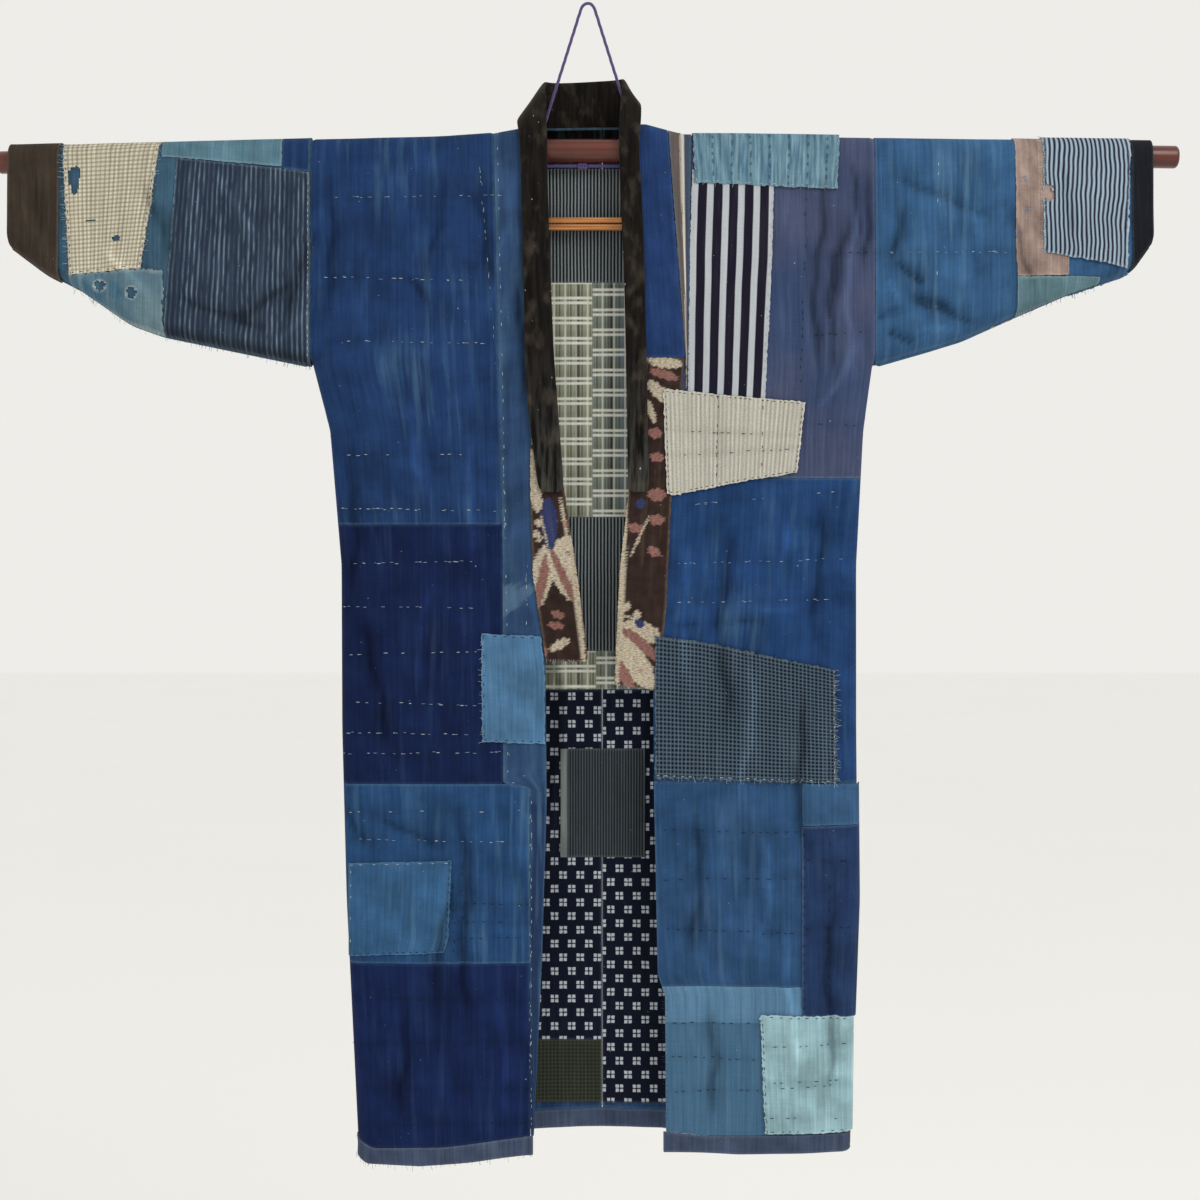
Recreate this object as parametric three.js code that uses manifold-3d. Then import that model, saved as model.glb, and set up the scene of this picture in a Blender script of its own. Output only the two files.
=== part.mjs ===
// Patched boro jacket on a lacquered kimono hanger.
// Millimetres, +Z up, the front of the jacket faces -Y. The origin is the underside of the crown of the
// hanging cord, where the loop rests on its nail. Heights in this file are measured from the bar's axis,
// and the whole group is lowered by CROWN_HEIGHT at the end.
import * as THREE from "three";
import { mergeVertices } from "three/addons/utils/BufferGeometryUtils.js";
import Module from "manifold-3d";

// ---- driving dimensions ----

// Hanger: a hub tube with an arm in each end, which droops a little in its joint.
const CROWN_HEIGHT = 162; // from the bar's axis up to the underside of the cord's crown
const HUB_RADIUS = 13;
const HUB_HALF = 150;
const ARM_RADIUS = 12.4;
const ARM_END = 655;
const LEFT_DROOP = THREE.MathUtils.degToRad(1.5);
const RIGHT_DROOP = THREE.MathUtils.degToRad(0.8);
const SLAT_HALF = 85;
const SLAT_DEPTH = 8;
const SLAT_HEIGHT = 6.2;
const SLAT_UPPER_Z = -77.5;
const SLAT_LOWER_Z = -85.2;
const STRAP_X = 74;
const STRAP_WIDTH = 8;
const STRAP_THICKNESS = 2;
const SLAT_CORNER = 1.5;
const BAR_END_CHAMFER = 2;

// Cord: a loop through two holes in the hub, knotted underneath.
const CORD_DIAMETER = 3.6;
const CORD_SIDES = 8;
const CORD_HOLE_X = 56.2;
const CORD_HOLE_RADIUS = 5.4;
const KNOT_X = -6;
const KNOT_RADIUS = 5;

// Cloth
const SEAM_GAP = 0.3;
const CLOTH = 2.5; // quilted body cloth, several layers sewn together
const PATCH = 1.2; // one laid-on patch
const LINING = 1;
const FOLD_RADIUS = 16.5; // outside of the cloth over the bar
const SIDE_RADIUS = 14; // how far from a side seam or an underarm seam the cloth rounds over
const UNDERARM_Z = -239;
const HEM_BAND = 20;
const COLLAR_THICKNESS = 4.4;
const BODY_COLUMNS = 9; // divisions of the body's width between the rounded side seams

// The cloth stands clear of the bar and swells and ripples on its way down, in front and behind.
const FRONT_STAND = 3.5;
const BACK_STAND = 1.5;
const FRONT_SWELL = 12;
const BACK_SWELL = 4;
const SWELL_DROP = 1100;
const FRONT_RIPPLE = 2.8;
const BACK_RIPPLE = 2.2;
const RIPPLE_FROM = 250;
const RIPPLE_OVER = 800;

// The standing collar lifts the shoulder beside the neck: how high, from which x and over what width.
const NECK_LIFT_LEFT = { height: 18, from: -108, over: 44 };
const NECK_LIFT_RIGHT = { height: 32, from: 98, over: 50 };

// Body outline at the side seams, from the underarm to the hem: [x, z].
const LEFT_SIDE = [
  [-306, UNDERARM_Z],
  [-292, -268],
  [-282, -360],
  [-274, -470],
  [-272, -580],
  [-276, -700],
  [-269, -830],
  [-263, -950],
  [-255, -1120],
];
const RIGHT_SIDE = [
  [317, UNDERARM_Z],
  [311, -275],
  [301, -365],
  [299, -470],
  [297, -540],
  [300, -670],
  [302, -795],
  [298, -920],
  [293, -970],
  [291, -1120],
];

// Underside of each sleeve, from the armhole to the cuff: [x, z].
const LEFT_UNDERSIDE = [
  [-306, UNDERARM_Z],
  [-389, -222],
  [-471, -205],
  [-507, -192],
  [-562, -154],
  [-621, -124],
  [-637, -106],
];
const RIGHT_UNDERSIDE = [
  [317, UNDERARM_Z],
  [376, -222],
  [415, -210],
  [475, -183],
  [531, -159],
  [594, -138],
  [612, -126],
  [622, -104],
];
const ARMHOLE_LEFT = LEFT_SIDE[0][0];
const ARMHOLE_RIGHT = RIGHT_SIDE[0][0];
const CUFF_LEFT = LEFT_UNDERSIDE.at(-1)[0];
const CUFF_RIGHT = RIGHT_UNDERSIDE.at(-1)[0];

// Heights of the seams that cross the fronts.
const LEFT_SEAMS = [-416, -701, -898];
const RIGHT_SEAMS = [-365, -699, -923];
const BACK_CENTRE_X = 16;
const BACK_NECK_Z = 4;
const LINING_REACH = 140; // how far the lining is laid to each side of the centre seam
const PLAID_SEAM_X = 5;
const LOW_PLAID_SEAM_X = 9;

// ---- small helpers ----

const wasm = await Module();
wasm.setup();

const smooth = (t) => THREE.MathUtils.smoothstep(t, 0, 1);

// Reads a value along a broken line given as [at, value] pairs, in rising or falling order.
function along(pairs, at) {
  const rising = pairs[1][0] > pairs[0][0];
  for (let i = 1; i < pairs.length; i++) {
    const [a, va] = pairs[i - 1];
    const [b, vb] = pairs[i];
    const last = i === pairs.length - 1;
    if (last || (rising ? at <= b : at >= b)) {
      const t = THREE.MathUtils.clamp((at - a) / (b - a), 0, 1);
      return va + t * (vb - va);
    }
  }
}

const flip = (pairs) => pairs.map(([a, b]) => [b, a]);

function solidOf(geometry) {
  const bare = geometry.clone();
  bare.deleteAttribute("normal");
  bare.deleteAttribute("uv");
  const merged = mergeVertices(bare, 1e-4);
  const vertProperties = merged.attributes.position.array;
  const triVerts = new Uint32Array(merged.index.array);
  return new wasm.Manifold(new wasm.Mesh({ numProp: 3, vertProperties, triVerts }));
}

function geometryOf(solid) {
  const { vertProperties, triVerts } = solid.getMesh();
  const geometry = new THREE.BufferGeometry();
  geometry.setAttribute("position", new THREE.BufferAttribute(vertProperties, 3));
  geometry.setIndex(new THREE.BufferAttribute(triVerts, 1));
  return geometry;
}

const part = new THREE.Group();

function addPiece(name, geometry, color, roughness = 0.95, metalness = 0) {
  const mesh = new THREE.Mesh(geometry, new THREE.MeshStandardMaterial({ color, roughness, metalness }));
  mesh.name = name;
  part.add(mesh);
  return mesh;
}

// ---- the form of the cloth ----

// Height of the bar's axis at x: level in the hub, falling along each arm.
function barZ(x) {
  const droop = x < 0 ? LEFT_DROOP : RIGHT_DROOP;
  return -Math.max(0, Math.abs(x) - HUB_HALF) * Math.tan(droop);
}

// Height of the shoulder ridge: over the bar, and lifted at the neck by the standing collar.
function ridgeZ(x) {
  const [left, right] = [NECK_LIFT_LEFT, NECK_LIFT_RIGHT];
  const liftLeft = left.height * smooth((x - left.from) / left.over);
  const liftRight = right.height * smooth((right.from - x) / right.over);
  return barZ(x) + FOLD_RADIUS + Math.min(liftLeft, liftRight);
}

// How far the front stands before the bar's axis: it follows the bar's fold and swells towards the hem.
function frontDepth(x, z) {
  const drop = Math.max(0, -z);
  const swell = FRONT_STAND * smooth(drop / 160) + FRONT_SWELL * Math.pow(drop / SWELL_DROP, 1.3);
  const ripple = FRONT_RIPPLE * smooth((drop - RIPPLE_FROM) / RIPPLE_OVER) * Math.sin(x / 30 + 0.6);
  return FOLD_RADIUS + swell + ripple;
}

function backDepth(x, z) {
  const drop = Math.max(0, -z);
  const swell = BACK_STAND * smooth(drop / 200) + BACK_SWELL * (drop / SWELL_DROP);
  const ripple = BACK_RIPPLE * smooth((drop - RIPPLE_FROM) / RIPPLE_OVER) * Math.sin(x / 34 + 2);
  return FOLD_RADIUS + swell + ripple;
}

// Share of the depth left at a distance from a seam where front and back meet.
function rounding(distance) {
  const t = THREE.MathUtils.clamp(1 - distance / SIDE_RADIUS, 0, 1);
  return Math.sqrt(1 - t * t);
}

// Distance from a point of the body to the nearer side seam, or to the underarm above it.
function bodyDistance(x, z) {
  const height = Math.max(0, z - UNDERARM_Z);
  const left = x - (height > 0 ? ARMHOLE_LEFT : along(flip(LEFT_SIDE), z));
  const right = (height > 0 ? ARMHOLE_RIGHT : along(flip(RIGHT_SIDE), z)) - x;
  return Math.hypot(Math.max(0, Math.min(left, right)), height);
}

const side = { front: -1, back: 1 };

function bodyPoint(x, z, face) {
  const depth = face === "front" ? frontDepth(x, z) : backDepth(x, z);
  return new THREE.Vector3(x, side[face] * depth * rounding(bodyDistance(x, z)), z);
}

function sleevePoint(x, z, face, underside) {
  const depth = face === "front" ? frontDepth(x, z) : backDepth(x, z);
  return new THREE.Vector3(x, side[face] * depth * rounding(z - underside), z);
}

function foldPoint(x, angle) {
  const y = -FOLD_RADIUS * Math.sin(angle);
  return new THREE.Vector3(x, y, ridgeZ(x) - FOLD_RADIUS * (1 - Math.cos(angle)));
}

const FOLD_ANGLES = [-2, -1, 0, 1, 2].map((sixth) => (sixth * Math.PI) / 6);
const SIDE_STEPS = [0, 1, 2, 3].map((sixth) => SIDE_RADIUS * (1 - Math.cos((sixth * Math.PI) / 6)));

// Height of the bottom edge of the cloth at x, in front and behind.
const FRONT_HEM = [
  [-255, -1110],
  [-235, -1120],
  [-160, -1118],
  [-60, -1107],
  [16, -1104],
  [83, -1101],
  [125, -1107],
  [291, -1103],
];
const BACK_HEM = [
  [-255, -1110],
  [-200, -1098],
  [16, -1088],
  [240, -1095],
  [291, -1103],
];
const UNDERARM_LEVELS = SIDE_STEPS.map((s) => UNDERARM_Z + s).reverse();
const LEVELS = [-40, -140, ...UNDERARM_LEVELS, -310, -460, -640, -830];

// The body as rows of points from the front hem up over the shoulder and down to the back hem.
function bodyGrid() {
  const columnsAt = (z) => {
    const left = z >= UNDERARM_Z ? ARMHOLE_LEFT : along(flip(LEFT_SIDE), z);
    const right = z >= UNDERARM_Z ? ARMHOLE_RIGHT : along(flip(RIGHT_SIDE), z);
    const columns = SIDE_STEPS.map((s) => left + s);
    for (let i = 1; i < BODY_COLUMNS; i++) {
      columns.push(left + SIDE_RADIUS + ((right - left - 2 * SIDE_RADIUS) * i) / BODY_COLUMNS);
    }
    return columns.concat(SIDE_STEPS.map((s) => right - s).reverse());
  };
  const wall = (face, hem) => {
    const rows = [columnsAt(0).map((x) => bodyPoint(x, ridgeZ(x) - FOLD_RADIUS, face))];
    for (const z of LEVELS) rows.push(columnsAt(z).map((x) => bodyPoint(x, z, face)));
    rows.push(columnsAt(LEFT_SIDE.at(-1)[1]).map((x) => bodyPoint(x, along(hem, x), face)));
    return rows;
  };
  const front = wall("front", FRONT_HEM).reverse();
  const fold = FOLD_ANGLES.map((angle) => columnsAt(0).map((x) => foldPoint(x, angle))).reverse();
  return { rows: [...front, ...fold, ...wall("back", BACK_HEM)], closed: false };
}

// A sleeve as closed rings of points from the armhole to the cuff.
function sleeveGrid(underside, stations) {
  const rows = stations.map((x) => {
    const bottom = along(underside, x);
    const top = ridgeZ(x) - FOLD_RADIUS;
    const reach = top - bottom - SIDE_RADIUS;
    const heights = [0, 0.5].map((share) => top - share * reach);
    heights.push(...SIDE_STEPS.map((s) => bottom + s).reverse());
    const front = heights.map((z) => sleevePoint(x, z, "front", bottom));
    const back = heights.slice(0, -1).map((z) => sleevePoint(x, z, "back", bottom));
    return [...FOLD_ANGLES.map((angle) => foldPoint(x, angle)), ...front, ...back.reverse()];
  });
  return { rows, closed: true };
}

// Outward normals of a grid, from the points on each side of every point.
const FLAT = 1e-6;
function gridNormals({ rows, closed }) {
  const count = rows[0].length;
  return rows.map((row, i) =>
    row.map((point, j) => {
      const before = closed ? row[(j + count - 1) % count] : row[Math.max(0, j - 1)];
      const after = closed ? row[(j + 1) % count] : row[Math.min(count - 1, j + 1)];
      const above = rows[Math.max(0, i - 1)][j];
      const below = rows[Math.min(rows.length - 1, i + 1)][j];
      const across = after.clone().sub(before);
      const down = below.clone().sub(above);
      const normal = across.cross(down);
      if (Math.abs(point.y) < FLAT) normal.y = 0; // square to the seam where front and back meet
      return normal.normalize();
    }),
  );
}

// A wall of cloth between two distances from a grid, both measured outwards.
function wallOf(grid, from, to) {
  const normals = gridNormals(grid);
  const { rows, closed } = grid;
  const count = rows[0].length;
  const across = closed ? count : count - 1;
  const positions = [];
  const sheet = (distance) =>
    rows.forEach((row, i) =>
      row.forEach((point, j) => {
        const moved = point.clone().addScaledVector(normals[i][j], distance * grid.outward);
        positions.push(moved.x, moved.y, moved.z);
      }),
    );
  sheet(to);
  sheet(from);
  const size = rows.length * count;
  const index = [];
  const quad = (a, b, c, d) => index.push(a, b, c, a, c, d);
  const at = (i, j) => i * count + (j % count);
  for (let i = 0; i < rows.length - 1; i++) {
    for (let j = 0; j < across; j++) {
      quad(at(i, j), at(i, j + 1), at(i + 1, j + 1), at(i + 1, j));
      quad(size + at(i, j), size + at(i + 1, j), size + at(i + 1, j + 1), size + at(i, j + 1));
    }
    if (!closed) {
      quad(at(i, 0), at(i + 1, 0), size + at(i + 1, 0), size + at(i, 0));
      const end = count - 1;
      quad(at(i, end), size + at(i, end), size + at(i + 1, end), at(i + 1, end));
    }
  }
  const last = rows.length - 1;
  for (let j = 0; j < across; j++) {
    quad(at(0, j + 1), at(0, j), size + at(0, j), size + at(0, j + 1));
    quad(at(last, j), at(last, j + 1), size + at(last, j + 1), size + at(last, j));
  }
  const geometry = new THREE.BufferGeometry();
  geometry.setAttribute("position", new THREE.Float32BufferAttribute(positions, 3));
  geometry.setIndex(index);
  const solid = solidOf(geometry);
  if (solid.volume() > 0) return solid;
  const turned = index.map((_, k) => index[k - (k % 3) + [0, 2, 1][k % 3]]);
  geometry.setIndex(turned);
  return solidOf(geometry);
}

// A block that keeps what lies inside an outline of [x, z] points, on one side of the jacket.
const FAR = 90;
function block(outline, face) {
  const shape = new THREE.Shape(outline.map(([x, z]) => new THREE.Vector2(x, z)));
  const geometry = new THREE.ExtrudeGeometry(shape, { depth: FAR, bevelEnabled: false });
  geometry.rotateX(Math.PI / 2); // the shape's y becomes z, and its depth runs towards -Y
  const nearY = face === "front" ? -SEAM_GAP / 2 : FAR + SEAM_GAP / 2;
  return solidOf(geometry.translate(0, nearY, 0));
}

// A block for a piece that passes over the fold or round the underside, on both sides of the jacket.
function wrap(frontOutline, backOutline) {
  const front = block(frontOutline, "front").translate([0, SEAM_GAP, 0]);
  return front.add(block(backOutline, "back").translate([0, -SEAM_GAP, 0]));
}

const body = { ...bodyGrid(), outward: 1 };
const leftStations = LEFT_UNDERSIDE.map(([x]) => x);
const rightStations = RIGHT_UNDERSIDE.map(([x]) => x);
const sleeveLeft = { ...sleeveGrid(LEFT_UNDERSIDE, leftStations), outward: -1 };
const sleeveRight = { ...sleeveGrid(RIGHT_UNDERSIDE, rightStations), outward: 1 };

// Cloth layers, numbered outwards from the body cloth and inwards into the lining.
function layerOf(grid, level) {
  if (level === 0) return wallOf(grid, -CLOTH, 0);
  if (level < 0) {
    const outer = -CLOTH - SEAM_GAP + (level + 1) * (LINING + SEAM_GAP);
    return wallOf(grid, outer - LINING, outer);
  }
  const inner = SEAM_GAP + (level - 1) * (PATCH + SEAM_GAP);
  return wallOf(grid, inner, inner + PATCH);
}
const BODY_LAYERS = Object.fromEntries([-2, -1, 0, 1, 2].map((level) => [level, layerOf(body, level)]));
const LEFT_LAYERS = Object.fromEntries([0, 1, 2].map((level) => [level, layerOf(sleeveLeft, level)]));
const RIGHT_LAYERS = Object.fromEntries([0, 1, 2].map((level) => [level, layerOf(sleeveRight, level)]));

function addCloth(name, layer, cutter, color) {
  return addPiece(name, geometryOf(layer.intersect(cutter)), color);
}

// An upright length of cloth between two heights, from its inner edge out to outerX, with a seam's gap at
// each end.
const TOP = 120;
const BOTTOM = -1220;
function lengthBetween(innerEdge, outerX, top, bottom) {
  const upper = top === TOP ? TOP : top - SEAM_GAP / 2;
  const lower = bottom === BOTTOM ? BOTTOM : bottom + SEAM_GAP / 2;
  const inside = innerEdge.filter(([, z]) => z < upper && z > lower);
  const inner = [[along(flip(innerEdge), upper), upper], ...inside, [along(flip(innerEdge), lower), lower]];
  return [...inner, [outerX, lower], [outerX, upper]];
}

// ---- left front ----

// The seam between the overlap strip and the lengths beside it, and the strip's own free edge.
const OVERLAP_SEAM = [
  [-104, TOP],
  [-104, 12],
  [-94, -416],
  [-93, -701],
  [-64, -704],
  [-62, BOTTOM],
];
const LEFT_EDGE = [
  [-66, TOP],
  [-66, 12],
  [-61, -394],
  [-58, -474],
  [-47, -538],
  [-45, -720],
  [-50, -887],
  [-60, -1107],
  [-60, BOTTOM],
];
const shifted = (edge, dx) => edge.map(([x, z]) => [x + dx, z]);
const BODY_LEFT_X = ARMHOLE_LEFT + SEAM_GAP / 2;
const hemTop = (hem) => hem.map(([x, z]) => [x, z + HEM_BAND]);

// The piece above a hem band: its outline with the band's height cut off along the hem's own line.
function aboveHem(hem, outline) {
  const [low, high] = [hem[0][0] - 60, hem.at(-1)[0] + 60];
  const line = hemTop(hem).map(([x, z]) => [x, z + SEAM_GAP / 2]);
  const region = [[low, line[0][1]], ...line, [high, line.at(-1)[1]], [high, TOP], [low, TOP]];
  const faces = ["front", "back"].map((face) => block(region, face));
  return block(outline, "front").add(block(outline, "back")).intersect(faces[0].add(faces[1]));
}

function hemBand(hem, fromX, toX, face) {
  const line = hemTop(hem).map(([x, z]) => [x, z - SEAM_GAP / 2]);
  const inside = line.filter(([x]) => x > fromX && x < toX);
  const top = [[fromX, along(line, fromX)], ...inside, [toX, along(line, toX)]];
  return block([[fromX, BOTTOM], ...top, [toX, BOTTOM]], face);
}

const WIDE = 400;
const ALL = [[-WIDE, BOTTOM], [WIDE, BOTTOM], [WIDE, TOP], [-WIDE, TOP]];
const frontOnly = (solid) => solid.intersect(block(ALL, "front"));
const backOnly = (solid) => solid.intersect(block(ALL, "back"));

function addLeftFront() {
  const seam = shifted(OVERLAP_SEAM, -SEAM_GAP / 2);
  const [upper, middle, lower] = LEFT_SEAMS;
  const base = BODY_LAYERS[0];
  const blues = [0x2c4a78, 0x1b2a5a, 0x44648c, 0x17234c];
  const names = ["upper", "middle", "lower", "foot"];
  const cuts = [TOP, upper, middle, lower, BOTTOM];
  names.forEach((name, i) => {
    const outline = lengthBetween(seam, BODY_LEFT_X, cuts[i], cuts[i + 1]);
    const cutter = i === 3 ? frontOnly(aboveHem(FRONT_HEM, outline)) : block(outline, "front");
    addCloth(`front_left_${name}`, base, cutter, blues[i]);
  });
  const strip = [...shifted(OVERLAP_SEAM, SEAM_GAP / 2), ...[...LEFT_EDGE].reverse()];
  addCloth("overlap_left", base, frontOnly(aboveHem(FRONT_HEM, strip)), 0x4a6a90);
  addCloth("hem_front_left", base, hemBand(FRONT_HEM, BODY_LEFT_X, -60, "front"), 0x5a5c78);

  const one = BODY_LAYERS[1];
  const waist = [[-117, -536], [-51, -539], [-47, -580], [-47, -657], [-116, -655]];
  addCloth("patch_left_waist", one, block(waist, "front"), 0x4e7099);
  const thigh = [[-262, -788], [-149, -785], [-153, -870], [-158, -886], [-262, -890]];
  addCloth("patch_left_thigh", one, block(thigh, "front"), 0x4c6c92);
  const brocade = [
    [-63, -328],
    [-63, -394],
    [-60, -474],
    [-50, -538],
    [-46, -566],
    [-1, -567],
    [0, -561],
    [-12, -468],
    [-25, -383],
    [-34, -328],
  ];
  addCloth("brocade_left", one, block(brocade, "front"), 0x3a2622);
}
addLeftFront();

// ---- right front ----

const RIGHT_EDGE = [
  [62, TOP],
  [62, 12],
  [71, -232],
  [88, -387],
  [82, -514],
  [72, -580],
  [73, -720],
  [77, -910],
  [85, -933],
  [86, -1081],
  [83, -1120],
  [83, BOTTOM],
];
const BODY_RIGHT_X = ARMHOLE_RIGHT - SEAM_GAP / 2;

function addRightFront() {
  const base = BODY_LAYERS[0];
  const names = ["upper", "middle", "lower", "foot"];
  const blues = [0x44465f, 0x2f5288, 0x3f5670, 0x3f6280];
  const cuts = [TOP, ...RIGHT_SEAMS, BOTTOM];
  names.forEach((name, i) => {
    const outline = lengthBetween(RIGHT_EDGE, BODY_RIGHT_X, cuts[i], cuts[i + 1]);
    const cutter = i === 3 ? frontOnly(aboveHem(FRONT_HEM, outline)) : block(outline, "front");
    addCloth(`front_right_${name}`, base, cutter, blues[i]);
  });
  addCloth("hem_front_right", base, hemBand(FRONT_HEM, 83, BODY_RIGHT_X, "front"), 0x5a5c78);

  const [one, two] = [BODY_LAYERS[1], BODY_LAYERS[2]];
  const royalSeam = [[87.5, 60], [88, 18], [107, -232]];
  const royal = [[53, 60], [61, -232], royalSeam[2], royalSeam[1], royalSeam[0]];
  addCloth("strip_neck_royal", one, block(royal, "front"), 0x1f3a7a);
  const brown = [
    [88.5, 30],
    [89, 18],
    [107.5, -231],
    [107.5, -267],
    [109.5, -267],
    [112, -120],
    [114.5, 30],
  ];
  addCloth("strip_neck_brown", one, block(brown, "front"), 0x5a4a44);
  const bold = [[115, -25], [205.5, -25], [203, -120], [195, -279], [110, -273], [112.5, -120]];
  addCloth("patch_bold_stripe", one, block(bold, "front"), 0xb8bcc0);
  const teal = [[115, 70], [281, 70], [275, -46], [117, -39]];
  const tealBehind = [[115, 70], [281, 70], [279, -25], [116, -20]];
  addCloth("patch_shoulder_teal", two, wrap(teal, tealBehind), 0x5a8290);
  const beige = [[83, -267], [239, -282], [230, -359], [169, -369], [95, -384], [87, -382]];
  addCloth("patch_beige_rib", two, block(beige, "front"), 0xb4b0a2);
  const gingham = [[74, -539], [125, -545], [272, -576], [273, -700], [74, -694]];
  addCloth("patch_gingham", two, block(gingham, "front"), 0x3c4e5c);
  const small = [[236, -701], [310, -701], [310, -745], [236, -747]];
  addCloth("patch_side_small", one, block(small, "front"), 0x33507c);
  const navy = [[235, -748], [310, -745.5], [310, -957], [234.5, -955]];
  addCloth("patch_side_navy", one, block(navy, "front"), 0x22345c);
  const pale = [[189, -953], [290, -955.5], [289, -1081], [194, -1083]];
  addCloth("patch_hem_pale", two, block(pale, "front"), 0x7ea6b0);
  const brocade = [
    [66, -232.5],
    [106, -232.5],
    [92, -387],
    [86, -514],
    [75, -598],
    [29, -592],
    [32, -533],
    [35, -468],
    [44, -388],
    [50, -328],
  ];
  addCloth("brocade_right", one, block(brocade, "front"), 0x3a2622);
}
addRightFront();

// ---- back ----

function addBack() {
  const base = BODY_LAYERS[0];
  const neck = [[-66, TOP], [-66, 30], [-50, BACK_NECK_Z], [36, BACK_NECK_Z], [56, 30], [56, TOP]];
  const centreLeft = BACK_CENTRE_X - SEAM_GAP / 2;
  const centreRight = BACK_CENTRE_X + SEAM_GAP / 2;
  const left = [[BODY_LEFT_X, TOP], ...neck.slice(0, 3), [centreLeft, BACK_NECK_Z], [centreLeft, BOTTOM]];
  left.push([BODY_LEFT_X, BOTTOM]);
  const right = [[centreRight, BOTTOM], [centreRight, BACK_NECK_Z], ...neck.slice(3), [BODY_RIGHT_X, TOP]];
  right.push([BODY_RIGHT_X, BOTTOM]);
  addCloth("back_left", base, backOnly(aboveHem(BACK_HEM, left)), 0x26406c);
  addCloth("back_right", base, backOnly(aboveHem(BACK_HEM, right)), 0x2a4470);
  addCloth("hem_back", base, hemBand(BACK_HEM, BODY_LEFT_X, BODY_RIGHT_X, "back"), 0x5a5c78);
}
addBack();

// ---- lining inside the back ----

function addLining() {
  const [inner, innermost] = [BODY_LAYERS[-1], BODY_LAYERS[-2]];
  const left = BACK_CENTRE_X - LINING_REACH;
  const right = BACK_CENTRE_X + LINING_REACH;
  const half = SEAM_GAP / 2;
  const box = (x0, x1, top, bottom) => {
    const [upper, lower] = [top - half, bottom + half];
    return block([[x0 + half, lower], [x1 - half, lower], [x1 - half, upper], [x0 + half, upper]], "back");
  };
  const add = (name, x0, x1, top, bottom, color) => {
    addCloth(name, inner, box(x0, x1, top, bottom), color);
  };
  add("lining_stripe_upper", left, right, -17, -144, 0x2a2e34);
  add("lining_plaid_left", left, PLAID_SEAM_X, -144, -406, 0xa8a888);
  add("lining_plaid_right", PLAID_SEAM_X, right, -144, -406, 0x8a9a94);
  add("lining_stripe_lower", left, right, -406, -556, 0x22262c);
  add("lining_plaid_low_left", left, LOW_PLAID_SEAM_X, -556, -599, 0xa8a47c);
  add("lining_plaid_low_right", LOW_PLAID_SEAM_X, right, -556, -599, 0x9a9a90);
  add("lining_kasuri_left", left, BACK_CENTRE_X, -599, -992, 0x14182a);
  add("lining_kasuri_right", BACK_CENTRE_X, right, -599, -1062, 0x14182a);
  add("lining_olive", left, BACK_CENTRE_X, -992, -1062, 0x24261e);
  addCloth("lining_patch_dark", innermost, box(-31, 64, -665, -787), 0x2c3036);
}
addLining();

// ---- sleeves ----

// Each strip of a sleeve goes round the tube: its edges are given in front and behind. This is the front of
// one that passes over the bar, by its corners at the top and the bottom.
function bandOutline(topA, topB, bottomB, bottomA) {
  return [[topA[0], TOP], topA, bottomA, bottomB, topB, [topB[0], TOP]];
}

// An upright rectangle between two x's and two heights.
function rectangle(x0, x1, top, bottom) {
  return [[x0, bottom], [x1, bottom], [x1, top], [x0, top]];
}

function addLeftSleeve() {
  const [base, one] = [LEFT_LAYERS[0], LEFT_LAYERS[1]];
  const two = LEFT_LAYERS[2];
  const all = rectangle(-600, ARMHOLE_LEFT - SEAM_GAP / 2, TOP, BOTTOM);
  addCloth("sleeve_left", base, wrap(all, all), 0x3e5f86);
  const cuff = rectangle(-700, -583, TOP, BOTTOM);
  addCloth("cuff_left", two, wrap(cuff, cuff), 0x2c2622);
  const cap = [[-337, TOP], [-306.2, TOP], [-306.2, -27], [-337, -23]];
  addCloth("sleeve_left_cap", one, wrap(cap, rectangle(-337, -306.2, TOP, -28)), 0x2c4a78);
  const teal = [[-470, TOP], [-337.3, TOP], [-337.3, -21], [-470, -10]];
  addCloth("sleeve_left_teal", one, wrap(teal, rectangle(-470, -337.3, TOP, -20)), 0x527a90);
  const check = bandOutline([-580, 1], [-470.5, 7], [-492, -134], [-571, -141]);
  addCloth("sleeve_left_check", one, wrap(check, rectangle(-580, -470.5, TOP, -120)), 0xb0a890);
  const stripe = [[-453, -11.5], [-337, -23.5], [-306.2, -27.5], [-306.2, -240.5], [-467, -207]];
  addCloth("sleeve_left_stripe", one, block([...stripe].reverse(), "front"), 0x252c44);
  const worn = [[-571, -141.5], [-492, -134.5], [-467.5, -137], [-467.5, BOTTOM], [-571, BOTTOM]];
  const wornBehind = [[-571, -145], [-467.5, -165], [-467.5, BOTTOM], [-571, BOTTOM]];
  addCloth("sleeve_left_worn", one, wrap(worn, wornBehind), 0x4a6a7c);
}
addLeftSleeve();

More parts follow.
